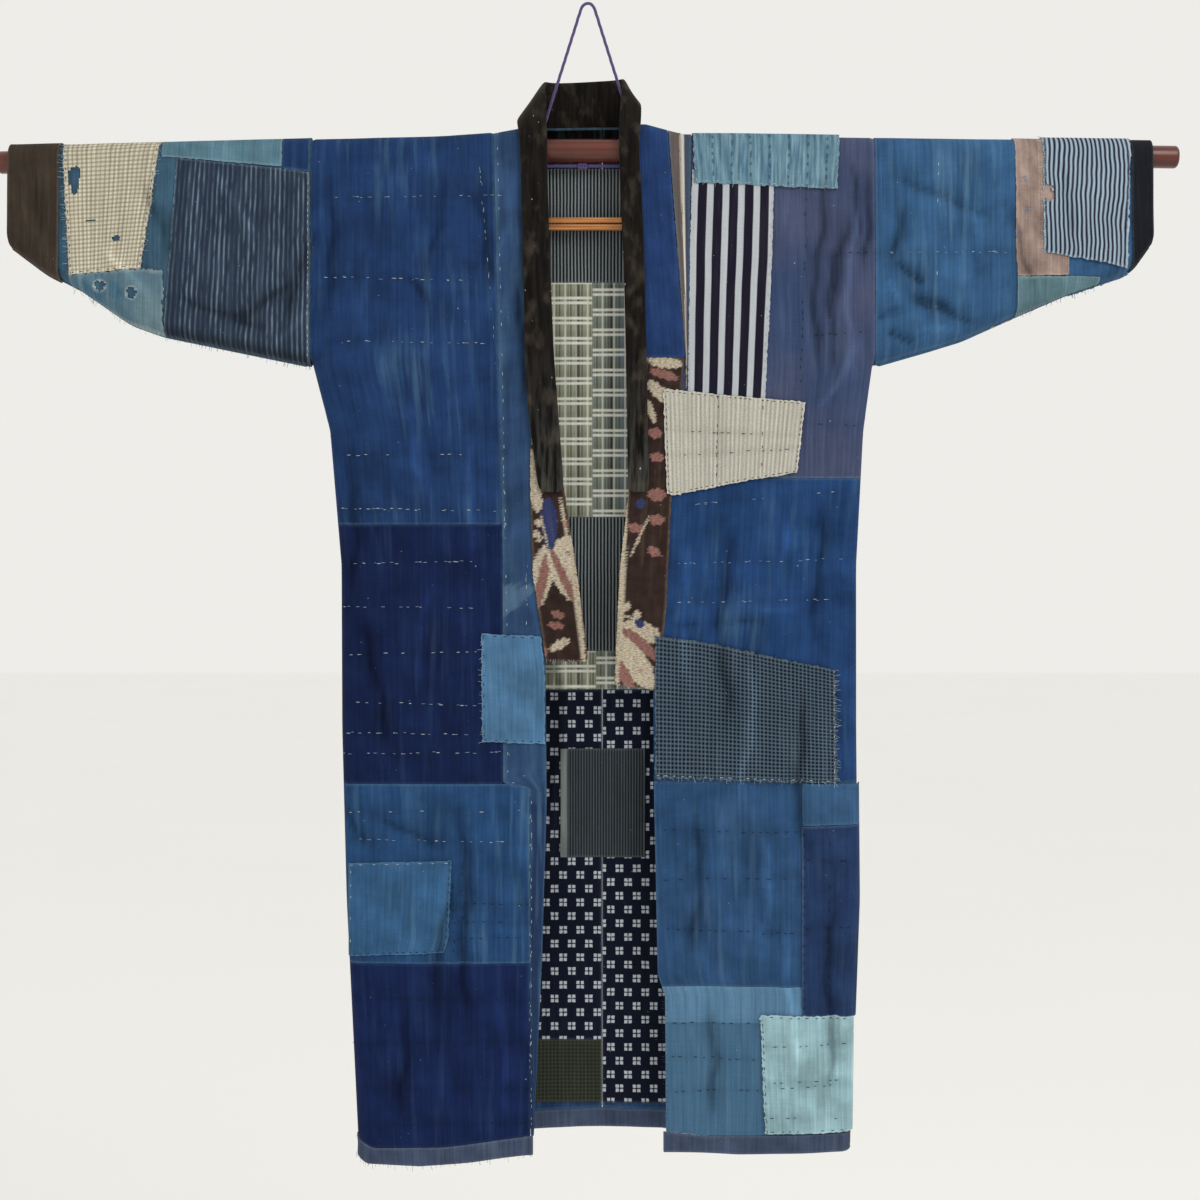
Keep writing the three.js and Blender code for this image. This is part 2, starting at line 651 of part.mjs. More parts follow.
function addRightSleeve() {
  const [base, one, two] = [RIGHT_LAYERS[0], RIGHT_LAYERS[1], RIGHT_LAYERS[2]];
  const all = rectangle(ARMHOLE_RIGHT + SEAM_GAP / 2, 606, TOP, BOTTOM);
  addCloth("sleeve_right", base, wrap(all, all), 0x35598a);
  const cuff = rectangle(600, 700, TOP, BOTTOM);
  addCloth("cuff_right", one, wrap(cuff, cuff), 0x14161e);
  const pink = bandOutline([471, 9], [530, 9], [530, -141], [473, -142]);
  const pinkBehind = [[425, TOP], [425, BOTTOM], [530, BOTTOM], [530, TOP]];
  addCloth("sleeve_right_pink", one, wrap(pink, pinkBehind), 0x86685e);
  const stripe = bandOutline([502, 11], [599, 10], [594, -132], [502, -116]);
  const stripeBehind = [[531, TOP], [531, BOTTOM], [599, BOTTOM], [599, TOP]];
  addCloth("sleeve_right_stripe", two, wrap(stripe, stripeBehind), 0x50586a);
  const teal = [[473, -142.5], [565, -142.5], [565, BOTTOM], [473, BOTTOM]];
  addCloth("sleeve_right_teal", one, block(teal, "front"), 0x648a92);
}
addRightSleeve();

// ---- collar ----

// The band as pairs of points: its sewn edge and its free edge, from one lower end round to the other.
const COLLAR_LIFT = 2 * (PATCH + SEAM_GAP) + COLLAR_THICKNESS / 2;
const LEFT_SEWN = [
  [-54, -384],
  [-60, -339],
  [-69, -263],
  [-70.5, -176],
  [-73, -66],
  [-75, -5],
];
const LEFT_FREE = [
  [-25, -384],
  [-30, -317],
  [-37, -226],
  [-41, -121],
  [-44, -23],
  [-45, 60],
];
const RIGHT_SEWN = [
  [68, -382],
  [66.5, -317],
  [65, -232],
  [62, -100],
  [58, -23],
  [57, -5],
];
const RIGHT_FREE = [
  [44, -382],
  [42.5, -285],
  [40, -153],
  [37, -88],
  [34, -8],
  [33, 60],
];
const COLLAR_LEVELS = [-382, -350, -310, -270, -230, -190, -150, -110, -70, -30, 0];

function frontStation(sewn, free, z) {
  const xs = along(flip(sewn), z);
  const xf = along(flip(free), z);
  const y = -(frontDepth((xs + xf) / 2, z) + COLLAR_LIFT);
  return [new THREE.Vector3(xs, y, z), new THREE.Vector3(xf, y, z)];
}

function collarStations() {
  const left = COLLAR_LEVELS.map((z) => frontStation(LEFT_SEWN, LEFT_FREE, z));
  const right = COLLAR_LEVELS.map((z) => frontStation(RIGHT_SEWN, RIGHT_FREE, z)).reverse();
  const turn = [
    [[-76, -21.7, 14], [-45, -21.7, 34]],
    [[-79, -12, 29], [-46, -15, 60]],
    [[-78, 0, 33.5], [-48, -3, 75]],
    [[-76, 10, 31.5], [-47, 6, 79]],
    [[-67, 19.4, 20], [-45, 13, 80.5]],
    [[-52, 22, 8], [-38, 18.5, 81]],
    [[-30, 22.5, -4], [-24, 21, 82]],
    [[-8, 22.5, -6], [-5, 21.5, 83]],
    [[14, 22.5, -4], [13, 21, 84]],
    [[36, 22, 8], [28, 18.5, 84]],
    [[50, 21, 24], [37, 12, 83.5]],
    [[55, 18.5, 37], [39, 5, 82]],
    [[58, 8, 48], [39.5, -1, 79]],
    [[58.5, -3, 51], [38, -9, 72]],
    [[60, -14.5, 44], [36, -17, 52]],
    [[58, -21.9, 16], [34, -21.9, 26]],
  ];
  const round = turn.map((pair) => pair.map(([x, y, z]) => new THREE.Vector3(x, y, z)));
  return [...left, ...round, ...right];
}

function addCollar() {
  const shares = [0, 0.33, 0.67, 1];
  const rows = collarStations().map(([sewn, free]) => shares.map((t) => sewn.clone().lerp(free, t)));
  const half = COLLAR_THICKNESS / 2;
  addPiece("collar", geometryOf(wallOf({ rows, closed: false, outward: 1 }, -half, half)), 0x1c1814);
}
addCollar();

// ---- hanger ----

const LACQUER = 0x5a2a1a;
const BAMBOO = 0xa06a3c;

// A round bar along X with softened ends.
function barGeometry(radius, length, sides = 16) {
  const edge = BAR_END_CHAMFER;
  const profile = [
    [0, 0],
    [radius - edge, 0],
    [radius, edge],
    [radius, length - edge],
    [radius - edge, length],
    [0, length],
  ];
  const points = profile.map(([r, h]) => new THREE.Vector2(r, h));
  return new THREE.LatheGeometry(points, sides).rotateZ(-Math.PI / 2);
}

function addBar() {
  const hub = solidOf(barGeometry(HUB_RADIUS, 2 * HUB_HALF).translate(-HUB_HALF, 0, 0));
  const hole = new THREE.CylinderGeometry(CORD_HOLE_RADIUS, CORD_HOLE_RADIUS, 4 * HUB_RADIUS, 16);
  hole.rotateX(Math.PI / 2);
  const holes = [-CORD_HOLE_X, CORD_HOLE_X].map((x) => solidOf(hole.clone().translate(x, 0, 0)));
  addPiece("bar_hub", geometryOf(hub.subtract(holes[0]).subtract(holes[1])), LACQUER, 0.3);
  const armLength = ARM_END - HUB_HALF - SEAM_GAP;
  const right = addPiece("bar_arm_right", barGeometry(ARM_RADIUS, armLength), LACQUER, 0.3);
  right.rotation.y = RIGHT_DROOP;
  right.position.set(HUB_HALF + SEAM_GAP, 0, 0);
  const left = addPiece("bar_arm_left", barGeometry(ARM_RADIUS, armLength), LACQUER, 0.3);
  left.rotation.y = Math.PI - LEFT_DROOP;
  left.position.set(-HUB_HALF - SEAM_GAP, 0, 0);
}
addBar();

// Two thin slats, one over the other, on a flat strap near each end that hangs from the hub.
function addSlats() {
  const names = { slat_upper: SLAT_UPPER_Z, slat_lower: SLAT_LOWER_Z };
  for (const [name, z] of Object.entries(names)) {
    const corner = SLAT_CORNER;
    const [w, h] = [SLAT_DEPTH / 2, SLAT_HEIGHT / 2];
    const shape = new THREE.Shape([
      new THREE.Vector2(-w, corner - h),
      new THREE.Vector2(corner - w, -h),
      new THREE.Vector2(w, -h),
      new THREE.Vector2(w, h),
      new THREE.Vector2(corner - w, h),
      new THREE.Vector2(-w, h - corner),
    ]);
    const slat = new THREE.ExtrudeGeometry(shape, { depth: 2 * SLAT_HALF, bevelEnabled: false });
    slat.applyMatrix4(new THREE.Matrix4().set(0, 0, 1, -SLAT_HALF, 1, 0, 0, 0, 0, 1, 0, z, 0, 0, 0, 1));
    addPiece(name, slat, BAMBOO, 0.5);
  }
  const top = -HUB_RADIUS - SEAM_GAP;
  const bottom = SLAT_LOWER_Z - SLAT_HEIGHT;
  for (const [name, x] of [["slat_strap_left", -STRAP_X], ["slat_strap_right", STRAP_X]]) {
    const strap = new THREE.BoxGeometry(STRAP_WIDTH, STRAP_THICKNESS, top - bottom);
    strap.translate(x, SLAT_DEPTH / 2 + SEAM_GAP + STRAP_THICKNESS / 2, (top + bottom) / 2);
    addPiece(name, strap, LACQUER, 0.4);
  }
}
addSlats();

// ---- hanging cord ----

// The cord's centre line: from the knot along under the hub, up through one hole, over the crown and back.
const CORD_ROUTE = [
  [0.5, -16.9],
  [18, -16.9],
  [36, -16.9],
  [50, -16.9],
  [55.7, -14.8],
  [58.9, -10.4],
  [59.2, -6],
  [57.3, 0],
  [51, 20],
  [38.4, 60],
  [25.7, 100],
  [13.1, 140],
  [7.4, 157.6],
  [5.6, 161.1],
  [3.1, 163.2],
  [0, 163.8],
];

function addCord() {
  const right = CORD_ROUTE.map(([x, z]) => new THREE.Vector3(x, 0, z));
  const left = CORD_ROUTE.slice(0, -1).map(([x, z]) => new THREE.Vector3(-x, 0, z));
  left[0].x = 2 * KNOT_X - CORD_ROUTE[0][0];
  const curve = new THREE.CatmullRomCurve3([...right, ...left.reverse()], false, "centripetal");
  const section = new THREE.Shape();
  for (let i = 0; i < CORD_SIDES; i++) {
    const turn = (2 * Math.PI * i) / CORD_SIDES;
    const [x, y] = [(CORD_DIAMETER / 2) * Math.cos(turn), (CORD_DIAMETER / 2) * Math.sin(turn)];
    if (i === 0) section.moveTo(x, y);
    else section.lineTo(x, y);
  }
  const cord = new THREE.ExtrudeGeometry(section, { steps: 64, extrudePath: curve, bevelEnabled: false });
  addPiece("hang_cord", cord, 0x3c2f52);
  const knot = new THREE.SphereGeometry(KNOT_RADIUS, 12, 8);
  knot.scale(1.2, 0.85, 0.75).translate(KNOT_X, 0, CORD_ROUTE[0][1]);
  addPiece("cord_knot", knot, 0x4a3a66);
}
addCord();

part.position.z = -CROWN_HEIGHT;
const hanging = new THREE.Group();
hanging.add(part);

export default hanging;
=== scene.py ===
# A patched boro jacket spread on a kimono hanger, which is a round lacquered bar, two slats and a cord loop.
# Units are metres, +Z is up and the jacket's front faces -Y. Left and right are as seen from the front.
import math
import bpy
import numpy as np
from mathutils import Matrix, Vector
from mathutils.bvhtree import BVHTree


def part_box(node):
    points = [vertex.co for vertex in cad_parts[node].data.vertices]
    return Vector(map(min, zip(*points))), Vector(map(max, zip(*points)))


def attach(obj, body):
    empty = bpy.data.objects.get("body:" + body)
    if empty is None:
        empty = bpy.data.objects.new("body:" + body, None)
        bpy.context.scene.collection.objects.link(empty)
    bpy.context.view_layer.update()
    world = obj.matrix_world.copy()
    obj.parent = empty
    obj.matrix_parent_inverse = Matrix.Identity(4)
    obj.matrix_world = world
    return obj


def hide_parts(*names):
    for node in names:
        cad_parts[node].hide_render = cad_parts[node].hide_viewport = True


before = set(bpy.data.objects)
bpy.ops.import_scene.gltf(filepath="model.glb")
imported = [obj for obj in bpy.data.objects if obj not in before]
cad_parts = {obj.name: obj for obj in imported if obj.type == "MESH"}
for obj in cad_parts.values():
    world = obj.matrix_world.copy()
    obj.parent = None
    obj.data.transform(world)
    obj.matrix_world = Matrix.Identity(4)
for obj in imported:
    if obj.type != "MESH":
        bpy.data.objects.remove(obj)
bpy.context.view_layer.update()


# ---- Camera ----
# It looks straight at the front from a little over two metres, level with the jacket's middle.
bpy.ops.object.camera_add(location=(0.0135, -2.2, -0.661), rotation=(math.pi / 2, 0, 0))
camera = bpy.context.object
camera.data.sensor_width = 36
camera.data.lens = 59.4
camera.data.clip_end = 200
bpy.context.scene.camera = camera


# ---- Hanging cord ----
# A thin purple cord of three twisted strands. It goes up through the two holes of the hub and over a nail,
# runs along under the hub, and is tied there in one flat knot.
CORD_DIAMETER = 0.0036
CORD_TWIST = 0.011
CORD_SIDES = 12
CORD_RING_STEP = 0.0012
bar_low, bar_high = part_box("bar_hub")
bar_z = (bar_low.z + bar_high.z) / 2
knot_low, knot_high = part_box("cord_knot")
knot_centre = (knot_low + knot_high) / 2


def wire(tree, kind, inputs, **settings):
    """Adds a shader node. Its inputs are plain values or the outputs of other nodes."""
    added = tree.nodes.new(kind)
    for key, value in settings.items():
        setattr(added, key, value)
    for key, value in inputs.items():
        if isinstance(value, bpy.types.NodeSocket):
            tree.links.new(value, added.inputs[key])
        else:
            added.inputs[key].default_value = value
    return added


def calc(tree, operation, a, b=0.0, c=0.0):
    """One step of arithmetic."""
    return wire(tree, "ShaderNodeMath", {0: a, 1: b, 2: c}, operation=operation).outputs[0]


def tint(tree, share, under, over):
    """One colour laid over another by a share."""
    return wire(tree, "ShaderNodeMix", {0: share, 6: under, 7: over}, data_type="RGBA").outputs[2]


def dye(red, green, blue):
    """A colour, named by its values on a screen."""
    parts = [value / 255 for value in (red, green, blue)]
    return (*(p / 12.92 if p <= 0.04045 else ((p + 0.055) / 1.055) ** 2.4 for p in parts), 1.0)


def mark(tree, name):
    """A value that the mesh carries under a name."""
    return wire(tree, "ShaderNodeAttribute", {}, attribute_name=name).outputs["Fac"]


def spread(tree, value, low, high, bottom=0.0, top=1.0):
    """Stretches the part of a value between low and high to run from bottom to top."""
    return wire(tree, "ShaderNodeMapRange", {0: value, 1: low, 2: high, 3: bottom, 4: top}).outputs[0]


def noise(tree, at, scale, detail=2.0):
    """Smooth noise over a surface. A scale for each of three directions draws it out into streaks."""
    if isinstance(scale, tuple):
        at, scale = wire(tree, "ShaderNodeMapping", {0: at, 3: scale}).outputs[0], 1.0
    return wire(tree, "ShaderNodeTexNoise", {"Vector": at, "Scale": scale, "Detail": detail}).outputs[0]


def new_material(name, roughness, sheen=0.0):
    """A plain material, with its node tree, its shader and the places on the pieces that have it."""
    material = bpy.data.materials.new(name)
    material.use_nodes = True
    tree = material.node_tree
    shader = tree.nodes["Principled BSDF"]
    shader.inputs["Roughness"].default_value = roughness
    shader.inputs["Sheen Weight"].default_value = sheen
    shader.inputs["Specular IOR Level"].default_value = 0.1
    return material, tree, shader, wire(tree, "ShaderNodeTexCoord", {}).outputs["Object"]


def colour_and_relief(tree, shader, colour, height, strength, distance):
    """Gives a material its colour, and a fine relief from a height."""
    tree.links.new(colour, shader.inputs["Base Color"])
    bump = wire(tree, "ShaderNodeBump", {"Strength": strength, "Distance": distance, "Height": height})
    tree.links.new(bump.outputs[0], shader.inputs["Normal"])


def add_mesh(name, points, faces):
    """A new piece from its points and faces."""
    mesh = bpy.data.meshes.new(name)
    mesh.from_pydata(points, [], faces)
    added = bpy.data.objects.new(name, mesh)
    bpy.context.scene.collection.objects.link(added)
    return added


def pick(piece):
    """Selects one piece alone and makes it the active one."""
    bpy.ops.object.select_all(action="DESELECT")
    piece.select_set(True)
    bpy.context.view_layer.objects.active = piece


def finish_piece(piece, slot, *nodes):
    """Hangs a finished piece on the part's one body, and hides the CAD nodes that it stands for."""
    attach(piece, "root")
    if nodes:
        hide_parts(*nodes)


def curve_through(points, steps):
    """Points on a centripetal Catmull-Rom curve through the given ones."""
    points = np.array(points, float)
    ends = [2 * points[0] - points[1], *points, 2 * points[-1] - points[-2]]
    curve = []
    for i in range(1, len(ends) - 2):
        p = ends[i - 1 : i + 3]
        knots = [0.0]
        for a, b in zip(p[:-1], p[1:]):
            knots.append(knots[-1] + math.sqrt(np.linalg.norm(b - a)))
        for t in np.linspace(knots[1], knots[2], steps, endpoint=False):
            row = list(p)
            for span in (1, 2, 3):
                pairs = zip(row, row[1:], knots, knots[span:])
                row = [(a * (high - t) + b * (t - low)) / (high - low) for a, b, low, high in pairs]
            curve.append(row[0])
    return np.array(curve + [points[-1]])


# Half of the cord's way, as x and the height above the bar's axis, from the knot to the crown.
cord_route = [
    (0.0005, -0.0169), (0.018, -0.0169), (0.036, -0.0169), (0.050, -0.0169), (0.0557, -0.0148),
    (0.0589, -0.0104), (0.0592, -0.006), (0.0573, 0.0), (0.051, 0.020), (0.0384, 0.060),
    (0.0257, 0.100), (0.0131, 0.140), (0.0074, 0.1576), (0.0056, 0.1611), (0.0031, 0.1632), (0.0, 0.1638),
]
there = [(x, 0.0, bar_z + z) for x, z in cord_route]
back = [(-x, 0.0, bar_z + z) for x, z in cord_route[:-1]]
back[0] = (2 * knot_centre.x - cord_route[0][0], 0.0, bar_z + cord_route[0][1])
cord_line = curve_through(there + back[::-1], 10)
cord_steps = np.linalg.norm(np.diff(cord_line, axis=0), axis=1)
cord_length = float(cord_steps.sum())
cord_at = np.concatenate([[0.0], np.cumsum(cord_steps)])
rings = int(cord_length / CORD_RING_STEP)
cord_places = np.linspace(0, cord_length, rings)
cord_centres = np.stack([np.interp(cord_places, cord_at, cord_line[:, k]) for k in range(3)], -1)
cord_along = np.gradient(cord_centres, axis=0)
cord_along /= np.linalg.norm(cord_along, axis=1)[:, None]
cord_side = np.cross(cord_along, (0.0, 1.0, 0.0))
turn = 2 * math.pi * np.arange(CORD_SIDES) / CORD_SIDES
lobes = np.abs(np.cos(1.5 * (turn[None] + 2 * math.pi * cord_places[:, None] / CORD_TWIST / 3)))
radius = CORD_DIAMETER / 2 * (0.8 + 0.2 * lobes)
cord_points = (
    cord_centres[:, None]
    + (radius * np.cos(turn))[..., None] * cord_side[:, None]
    + (radius * np.sin(turn))[..., None] * np.array((0.0, 1.0, 0.0))
).reshape(-1, 3)
cord_faces = [
    (i * CORD_SIDES + j, i * CORD_SIDES + (j + 1) % CORD_SIDES,
     (i + 1) * CORD_SIDES + (j + 1) % CORD_SIDES, (i + 1) * CORD_SIDES + j)
    for i in range(rings - 1) for j in range(CORD_SIDES)
]
cord_faces.append(tuple(range(CORD_SIDES))[::-1])
cord_faces.append(tuple((rings - 1) * CORD_SIDES + j for j in range(CORD_SIDES)))
cord = add_mesh("hang_cord_twist", cord_points.tolist(), cord_faces)
pick(cord)
bpy.ops.object.mode_set(mode="EDIT")
bpy.ops.mesh.select_all(action="SELECT")
bpy.ops.mesh.normals_make_consistent(inside=False)
bpy.ops.object.mode_set(mode="OBJECT")
bpy.ops.object.shade_smooth()

cord_silk, tree, shader, place = new_material("cord_silk", 0.55, 0.3)
lint = noise(tree, place, 900.0, 3.0)
silk = tint(tree, lint, dye(44, 34, 66), dye(104, 84, 138))
colour_and_relief(tree, shader, silk, lint, 0.4, 0.0004)
cord.data.materials.append(cord_silk)

# The knot is two turns of the same cord pulled flat.
turns = []
for shift, tilt in ((-0.0024, 0.5), (0.0024, -0.5)):
    bpy.ops.mesh.primitive_torus_add(
        location=(knot_centre.x + shift, 0, knot_centre.z), rotation=(math.pi / 2, tilt, 0),
        major_segments=24, minor_segments=10, major_radius=0.0021, minor_radius=0.0015,
    )
    turns.append(bpy.context.object)
bpy.ops.object.select_all(action="DESELECT")
for one in turns:
    one.select_set(True)
bpy.ops.object.join()
knot = bpy.context.object
knot.name = "cord_knot_tied"
bpy.ops.object.transform_apply(location=True, rotation=True, scale=True)
bpy.ops.object.shade_smooth()
knot.data.materials.append(cord_silk)
finish_piece(knot, "cord_purple", "cord_knot")
finish_piece(cord, "cord_purple", "hang_cord")


# ---- Bar of the hanger ----
# A hub and two arms, turned from wood and coated in red-brown lacquer that has darkened in places.
# The arms push into the hub; two holes through the hub take the cord.
ARM_SIDES = 48
END_ROUND = 0.004
CORD_HOLE_RADIUS = 0.0054
CORD_HOLE_X = 0.0562


def apply_modifier(piece, kind, **settings):
    """Works a modifier into a piece's own mesh."""
    modifier = piece.modifiers.new(kind.lower(), kind)
    for key, value in settings.items():
        setattr(modifier, key, value)
    pick(piece)
    bpy.ops.object.modifier_apply(modifier=modifier.name)


def turned_bar(name, start, end, radius):
    """A round bar between two points, with softened ends."""
    start, end = Vector(start), Vector(end)
    run = end - start
    bpy.ops.object.select_all(action="DESELECT")
    bpy.ops.mesh.primitive_cylinder_add(
        vertices=ARM_SIDES, radius=radius, depth=run.length, location=(start + end) / 2,
        rotation=run.to_track_quat("Z", "Y").to_euler(),
    )
    bar = bpy.context.object
    bar.name = name
    bpy.ops.object.transform_apply(location=True, rotation=True, scale=True)
    sharp = math.radians(60)
    apply_modifier(bar, "BEVEL", width=END_ROUND, segments=4, limit_method="ANGLE", angle_limit=sharp)
    bpy.ops.object.shade_smooth_by_angle(angle=math.radians(40))
    return bar


lacquer, tree, shader, place = new_material("lacquer", 0.28)
grain = noise(tree, place, (6.0, 160.0, 160.0), 5.0)
cloud = noise(tree, place, 18.0, 4.0)
wood = tint(tree, spread(tree, grain, 0.35, 0.7), dye(74, 34, 26), dye(104, 52, 38))
wood = tint(tree, spread(tree, cloud, 0.5, 0.75, 0.0, 0.6), wood, dye(50, 24, 18))
colour_and_relief(tree, shader, wood, grain, 0.15, 0.0006)
tree.links.new(spread(tree, cloud, 0.3, 0.7, 0.2, 0.42), shader.inputs["Roughness"])
shader.inputs["Specular IOR Level"].default_value = 0.3
shader.inputs["Coat Weight"].default_value = 0.2
shader.inputs["Coat Roughness"].default_value = 0.15

hub_radius = (bar_high.z - bar_low.z) / 2
hub = turned_bar("bar_hub_turned", (bar_low.x, 0, bar_z), (bar_high.x, 0, bar_z), hub_radius)
for x in (-CORD_HOLE_X, CORD_HOLE_X):
    bpy.ops.object.select_all(action="DESELECT")
    bpy.ops.mesh.primitive_cylinder_add(
        vertices=32, radius=CORD_HOLE_RADIUS, depth=4 * hub_radius, location=(x, 0, bar_z),
        rotation=(math.pi / 2, 0, 0),
    )
    drill = bpy.context.object
    apply_modifier(hub, "BOOLEAN", operation="DIFFERENCE", object=drill, solver="EXACT")
    bpy.data.objects.remove(drill)
pick(hub)
bpy.ops.object.shade_smooth_by_angle(angle=math.radians(40))
hub.data.materials.append(lacquer)
finish_piece(hub, "lacquer", "bar_hub")
for side, name in ((-1, "left"), (1, "right")):
    low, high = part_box(f"bar_arm_{name}")
    arm_radius = high.y
    inner = low.x if side > 0 else high.x
    outer = high.x if side > 0 else low.x
    arm = turned_bar(
        f"bar_arm_{name}_turned", (inner, 0, high.z - arm_radius), (outer, 0, low.z + arm_radius), arm_radius
    )
    arm.data.materials.append(lacquer)
    finish_piece(arm, "lacquer", f"bar_arm_{name}")


# ---- Slats and their straps ----
# Two thin planed slats of light varnished wood, one over the other, for hanging a folded garment. A flat
# lacquered strap near each end carries them from the hub.
def planed(name, low, high, edge):
    """A squared strip of wood with its edges rounded off, in a given box."""
    bpy.ops.object.select_all(action="DESELECT")
    bpy.ops.mesh.primitive_cube_add(size=1, location=(low + high) / 2, scale=high - low)
    strip = bpy.context.object
    strip.name = name
    bpy.ops.object.transform_apply(location=True, rotation=True, scale=True)
    apply_modifier(strip, "BEVEL", width=edge, segments=4)
    bpy.ops.object.shade_smooth_by_angle(angle=math.radians(40))
    return strip


varnished, tree, shader, place = new_material("varnished_wood", 0.35)
grain = noise(tree, place, (9.0, 500.0, 500.0), 6.0)
ends = noise(tree, place, 22.0)
wood = tint(tree, spread(tree, grain, 0.35, 0.68), dye(150, 92, 46), dye(214, 150, 88))
wood = tint(tree, spread(tree, ends, 0.5, 0.8, 0.0, 0.5), wood, dye(120, 66, 36))
colour_and_relief(tree, shader, wood, grain, 0.2, 0.0005)
shader.inputs["Coat Weight"].default_value = 0.4
for node in ("slat_upper", "slat_lower"):
    slat = planed(f"{node}_planed", *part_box(node), 0.0014)
    slat.data.materials.append(varnished)
    finish_piece(slat, "bamboo", node)
for node in ("slat_strap_left", "slat_strap_right"):
    strap = planed(f"{node}_planed", *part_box(node), 0.0006)
    strap.data.materials.append(lacquer)
    finish_piece(strap, "lacquer", node)


# ---- Left front ----
# Four lengths of narrow indigo cotton joined end to end, quilted to a backing by rows of stitches, with a
# paler strip down the front edge. All the jacket's cloth hangs from the bar: it folds over it, falls
# straight and rounds over at the side seams.
FOLD = 0.0165
SIDE_TURN = 0.014
SHOULDER = FOLD * math.pi / 2
OVER = FOLD * math.pi
UNDERARM_Z = bar_z - 0.239
INSET = 0.0002
SNAP = 0.0012
SEAM_TUCK = 0.0012
NECK_LEFT, NECK_RIGHT = -0.068, 0.064
# Where each sleeve's own underside ends, and how steeply its cuff's rises from there on.
SLEEVE_ENDS = {"left": (-0.5985, 0.75), "right": (0.6045, 1.4)}
# How far the front and the back stand out below the bar, swell further down, and ripple.
FRONT_STAND, FRONT_SWELL, FRONT_RIPPLE = 0.0035, 0.012, 0.0028
BACK_STAND, BACK_SWELL, BACK_RIPPLE = 0.0015, 0.004, 0.0022
RIPPLE_FROM, RIPPLE_OVER, SWELL_DROP = 0.25, 0.8, 1.1
# By layer, counted outwards from the jacket's own cloth: where a piece lies, and how thick it is.
LAYER_LIFT = {0: 0.0, 1: 0.0015, 2: 0.0030, -1: -0.0028, -2: -0.0041}
LAYER_WALL = {0: 0.0025, 1: 0.0012, 2: 0.0012, -1: 0.001, -2: 0.001}


def edges_of(nodes, face=0, clear=-1e-5):
    """The mesh edges of CAD nodes, as pairs of points: all, or those before (-1) or behind (1) the bar."""
    pairs = []
    for node in nodes:
        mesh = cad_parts[node].data
        points = np.array([v.co[:] for v in mesh.vertices])
        ends = points[np.array([e.vertices[:] for e in mesh.edges])]
        if face:
            ends = ends[(ends[:, :, 1] * face > clear).all(1)]
        pairs.append(ends)
    return np.concatenate(pairs)


def cut_through(nodes, axis, places, face=0, clear=-1e-5):
    """Where planes square to X (0) or Z (2) cut CAD nodes: the lowest and highest place along the other."""
    a, b = edges_of(nodes, face, clear).transpose(1, 0, 2)
    low, high = [], []
    for place in places:
        inside = (np.minimum(a[:, axis], b[:, axis]) <= place) & (np.maximum(a[:, axis], b[:, axis]) >= place)
        p, q = a[inside], b[inside]
        run = q[:, axis] - p[:, axis]
        share = np.where(np.abs(run) > 1e-9, (place - p[:, axis]) / np.where(np.abs(run) > 1e-9, run, 1), 0.5)
        other = (p + (q - p) * share[:, None])[:, 2 - axis]
        low.append(other.min())
        high.append(other.max())
    return np.array(low), np.array(high)


# The top line of the whole garment and its side seams, measured once on the solids.
all_left, all_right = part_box("cuff_left")[0].x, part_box("cuff_right")[1].x
ridge_x = np.concatenate([
    np.linspace(all_left + 0.006, NECK_LEFT, 40), np.linspace(NECK_RIGHT, all_right - 0.004, 40),
])
garment = ["front_left_upper", "front_right_upper", "overlap_left", "sleeve_left", "sleeve_right"]
ridge_z = cut_through([*garment, "cuff_left", "cuff_right"], 0, ridge_x)[1]
# A cuff lies on its sleeve by its layer's lift, so the sleeve's own top line is that much lower.
ridge_z[ridge_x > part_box("cuff_right")[0].x] -= LAYER_LIFT[1]
ridge_z[ridge_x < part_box("cuff_left")[1].x] -= LAYER_LIFT[2]
side_z = np.linspace(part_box("hem_back")[0].z + 0.012, UNDERARM_Z - 0.001, 60)
side_left = cut_through(["back_left", "hem_back"], 2, side_z)[0]
side_right = cut_through(["back_right", "hem_back"], 2, side_z)[1]
armhole_left, armhole_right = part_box("sleeve_left")[1].x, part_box("sleeve_right")[0].x
under_x = {
    "left": np.linspace(all_left + 0.001, armhole_left - 0.001, 40),
    "right": np.linspace(armhole_right + 0.001, all_right - 0.001, 40),
}
under_z = {}
for part, (end, slope) in SLEEVE_ENDS.items():
    within = np.maximum(under_x[part], end) if part == "left" else np.minimum(under_x[part], end)
    under_z[part] = cut_through([f"sleeve_{part}"], 0, within)[0] + np.abs(under_x[part] - within) * slope


def spring(x):
    """The height where the front of the cloth leaves the fold over the bar."""
    return np.interp(x, ridge_x, ridge_z) - FOLD


def soft(value):
    """Eases in and out from 0 to 1."""
    t = np.clip(value, 0, 1)
    return t * t * (3 - 2 * t)


def depth(x, z, behind):
    """How far the cloth stands before or behind the bar's axis."""
    drop = np.maximum(0, bar_z - z)
    fall = soft((drop - RIPPLE_FROM) / RIPPLE_OVER)
    front = FOLD + FRONT_STAND * soft(drop / 0.16) + FRONT_SWELL * (drop / SWELL_DROP) ** 1.3
    front = front + fall * FRONT_RIPPLE * np.sin(x / 0.030 + 0.6)
    rear = FOLD + BACK_STAND * soft(drop / 0.2) + BACK_SWELL * drop / SWELL_DROP
    rear = rear + fall * BACK_RIPPLE * np.sin(x / 0.034 + 2)
    return np.where(behind, rear, front)


def seam_gap(x, z, part):
    """How far places are from the side seams, or above a sleeve's underside."""
    if part != "body":
        return z - np.interp(x, under_x[part], under_z[part])
    above = np.maximum(0, z - UNDERARM_Z)
    left = np.where(above > 0, armhole_left, np.interp(z, side_z, side_left))
    right = np.where(above > 0, armhole_right, np.interp(z, side_z, side_right))
    return np.hypot(np.maximum(0, np.minimum(x - left, right - x)), above)


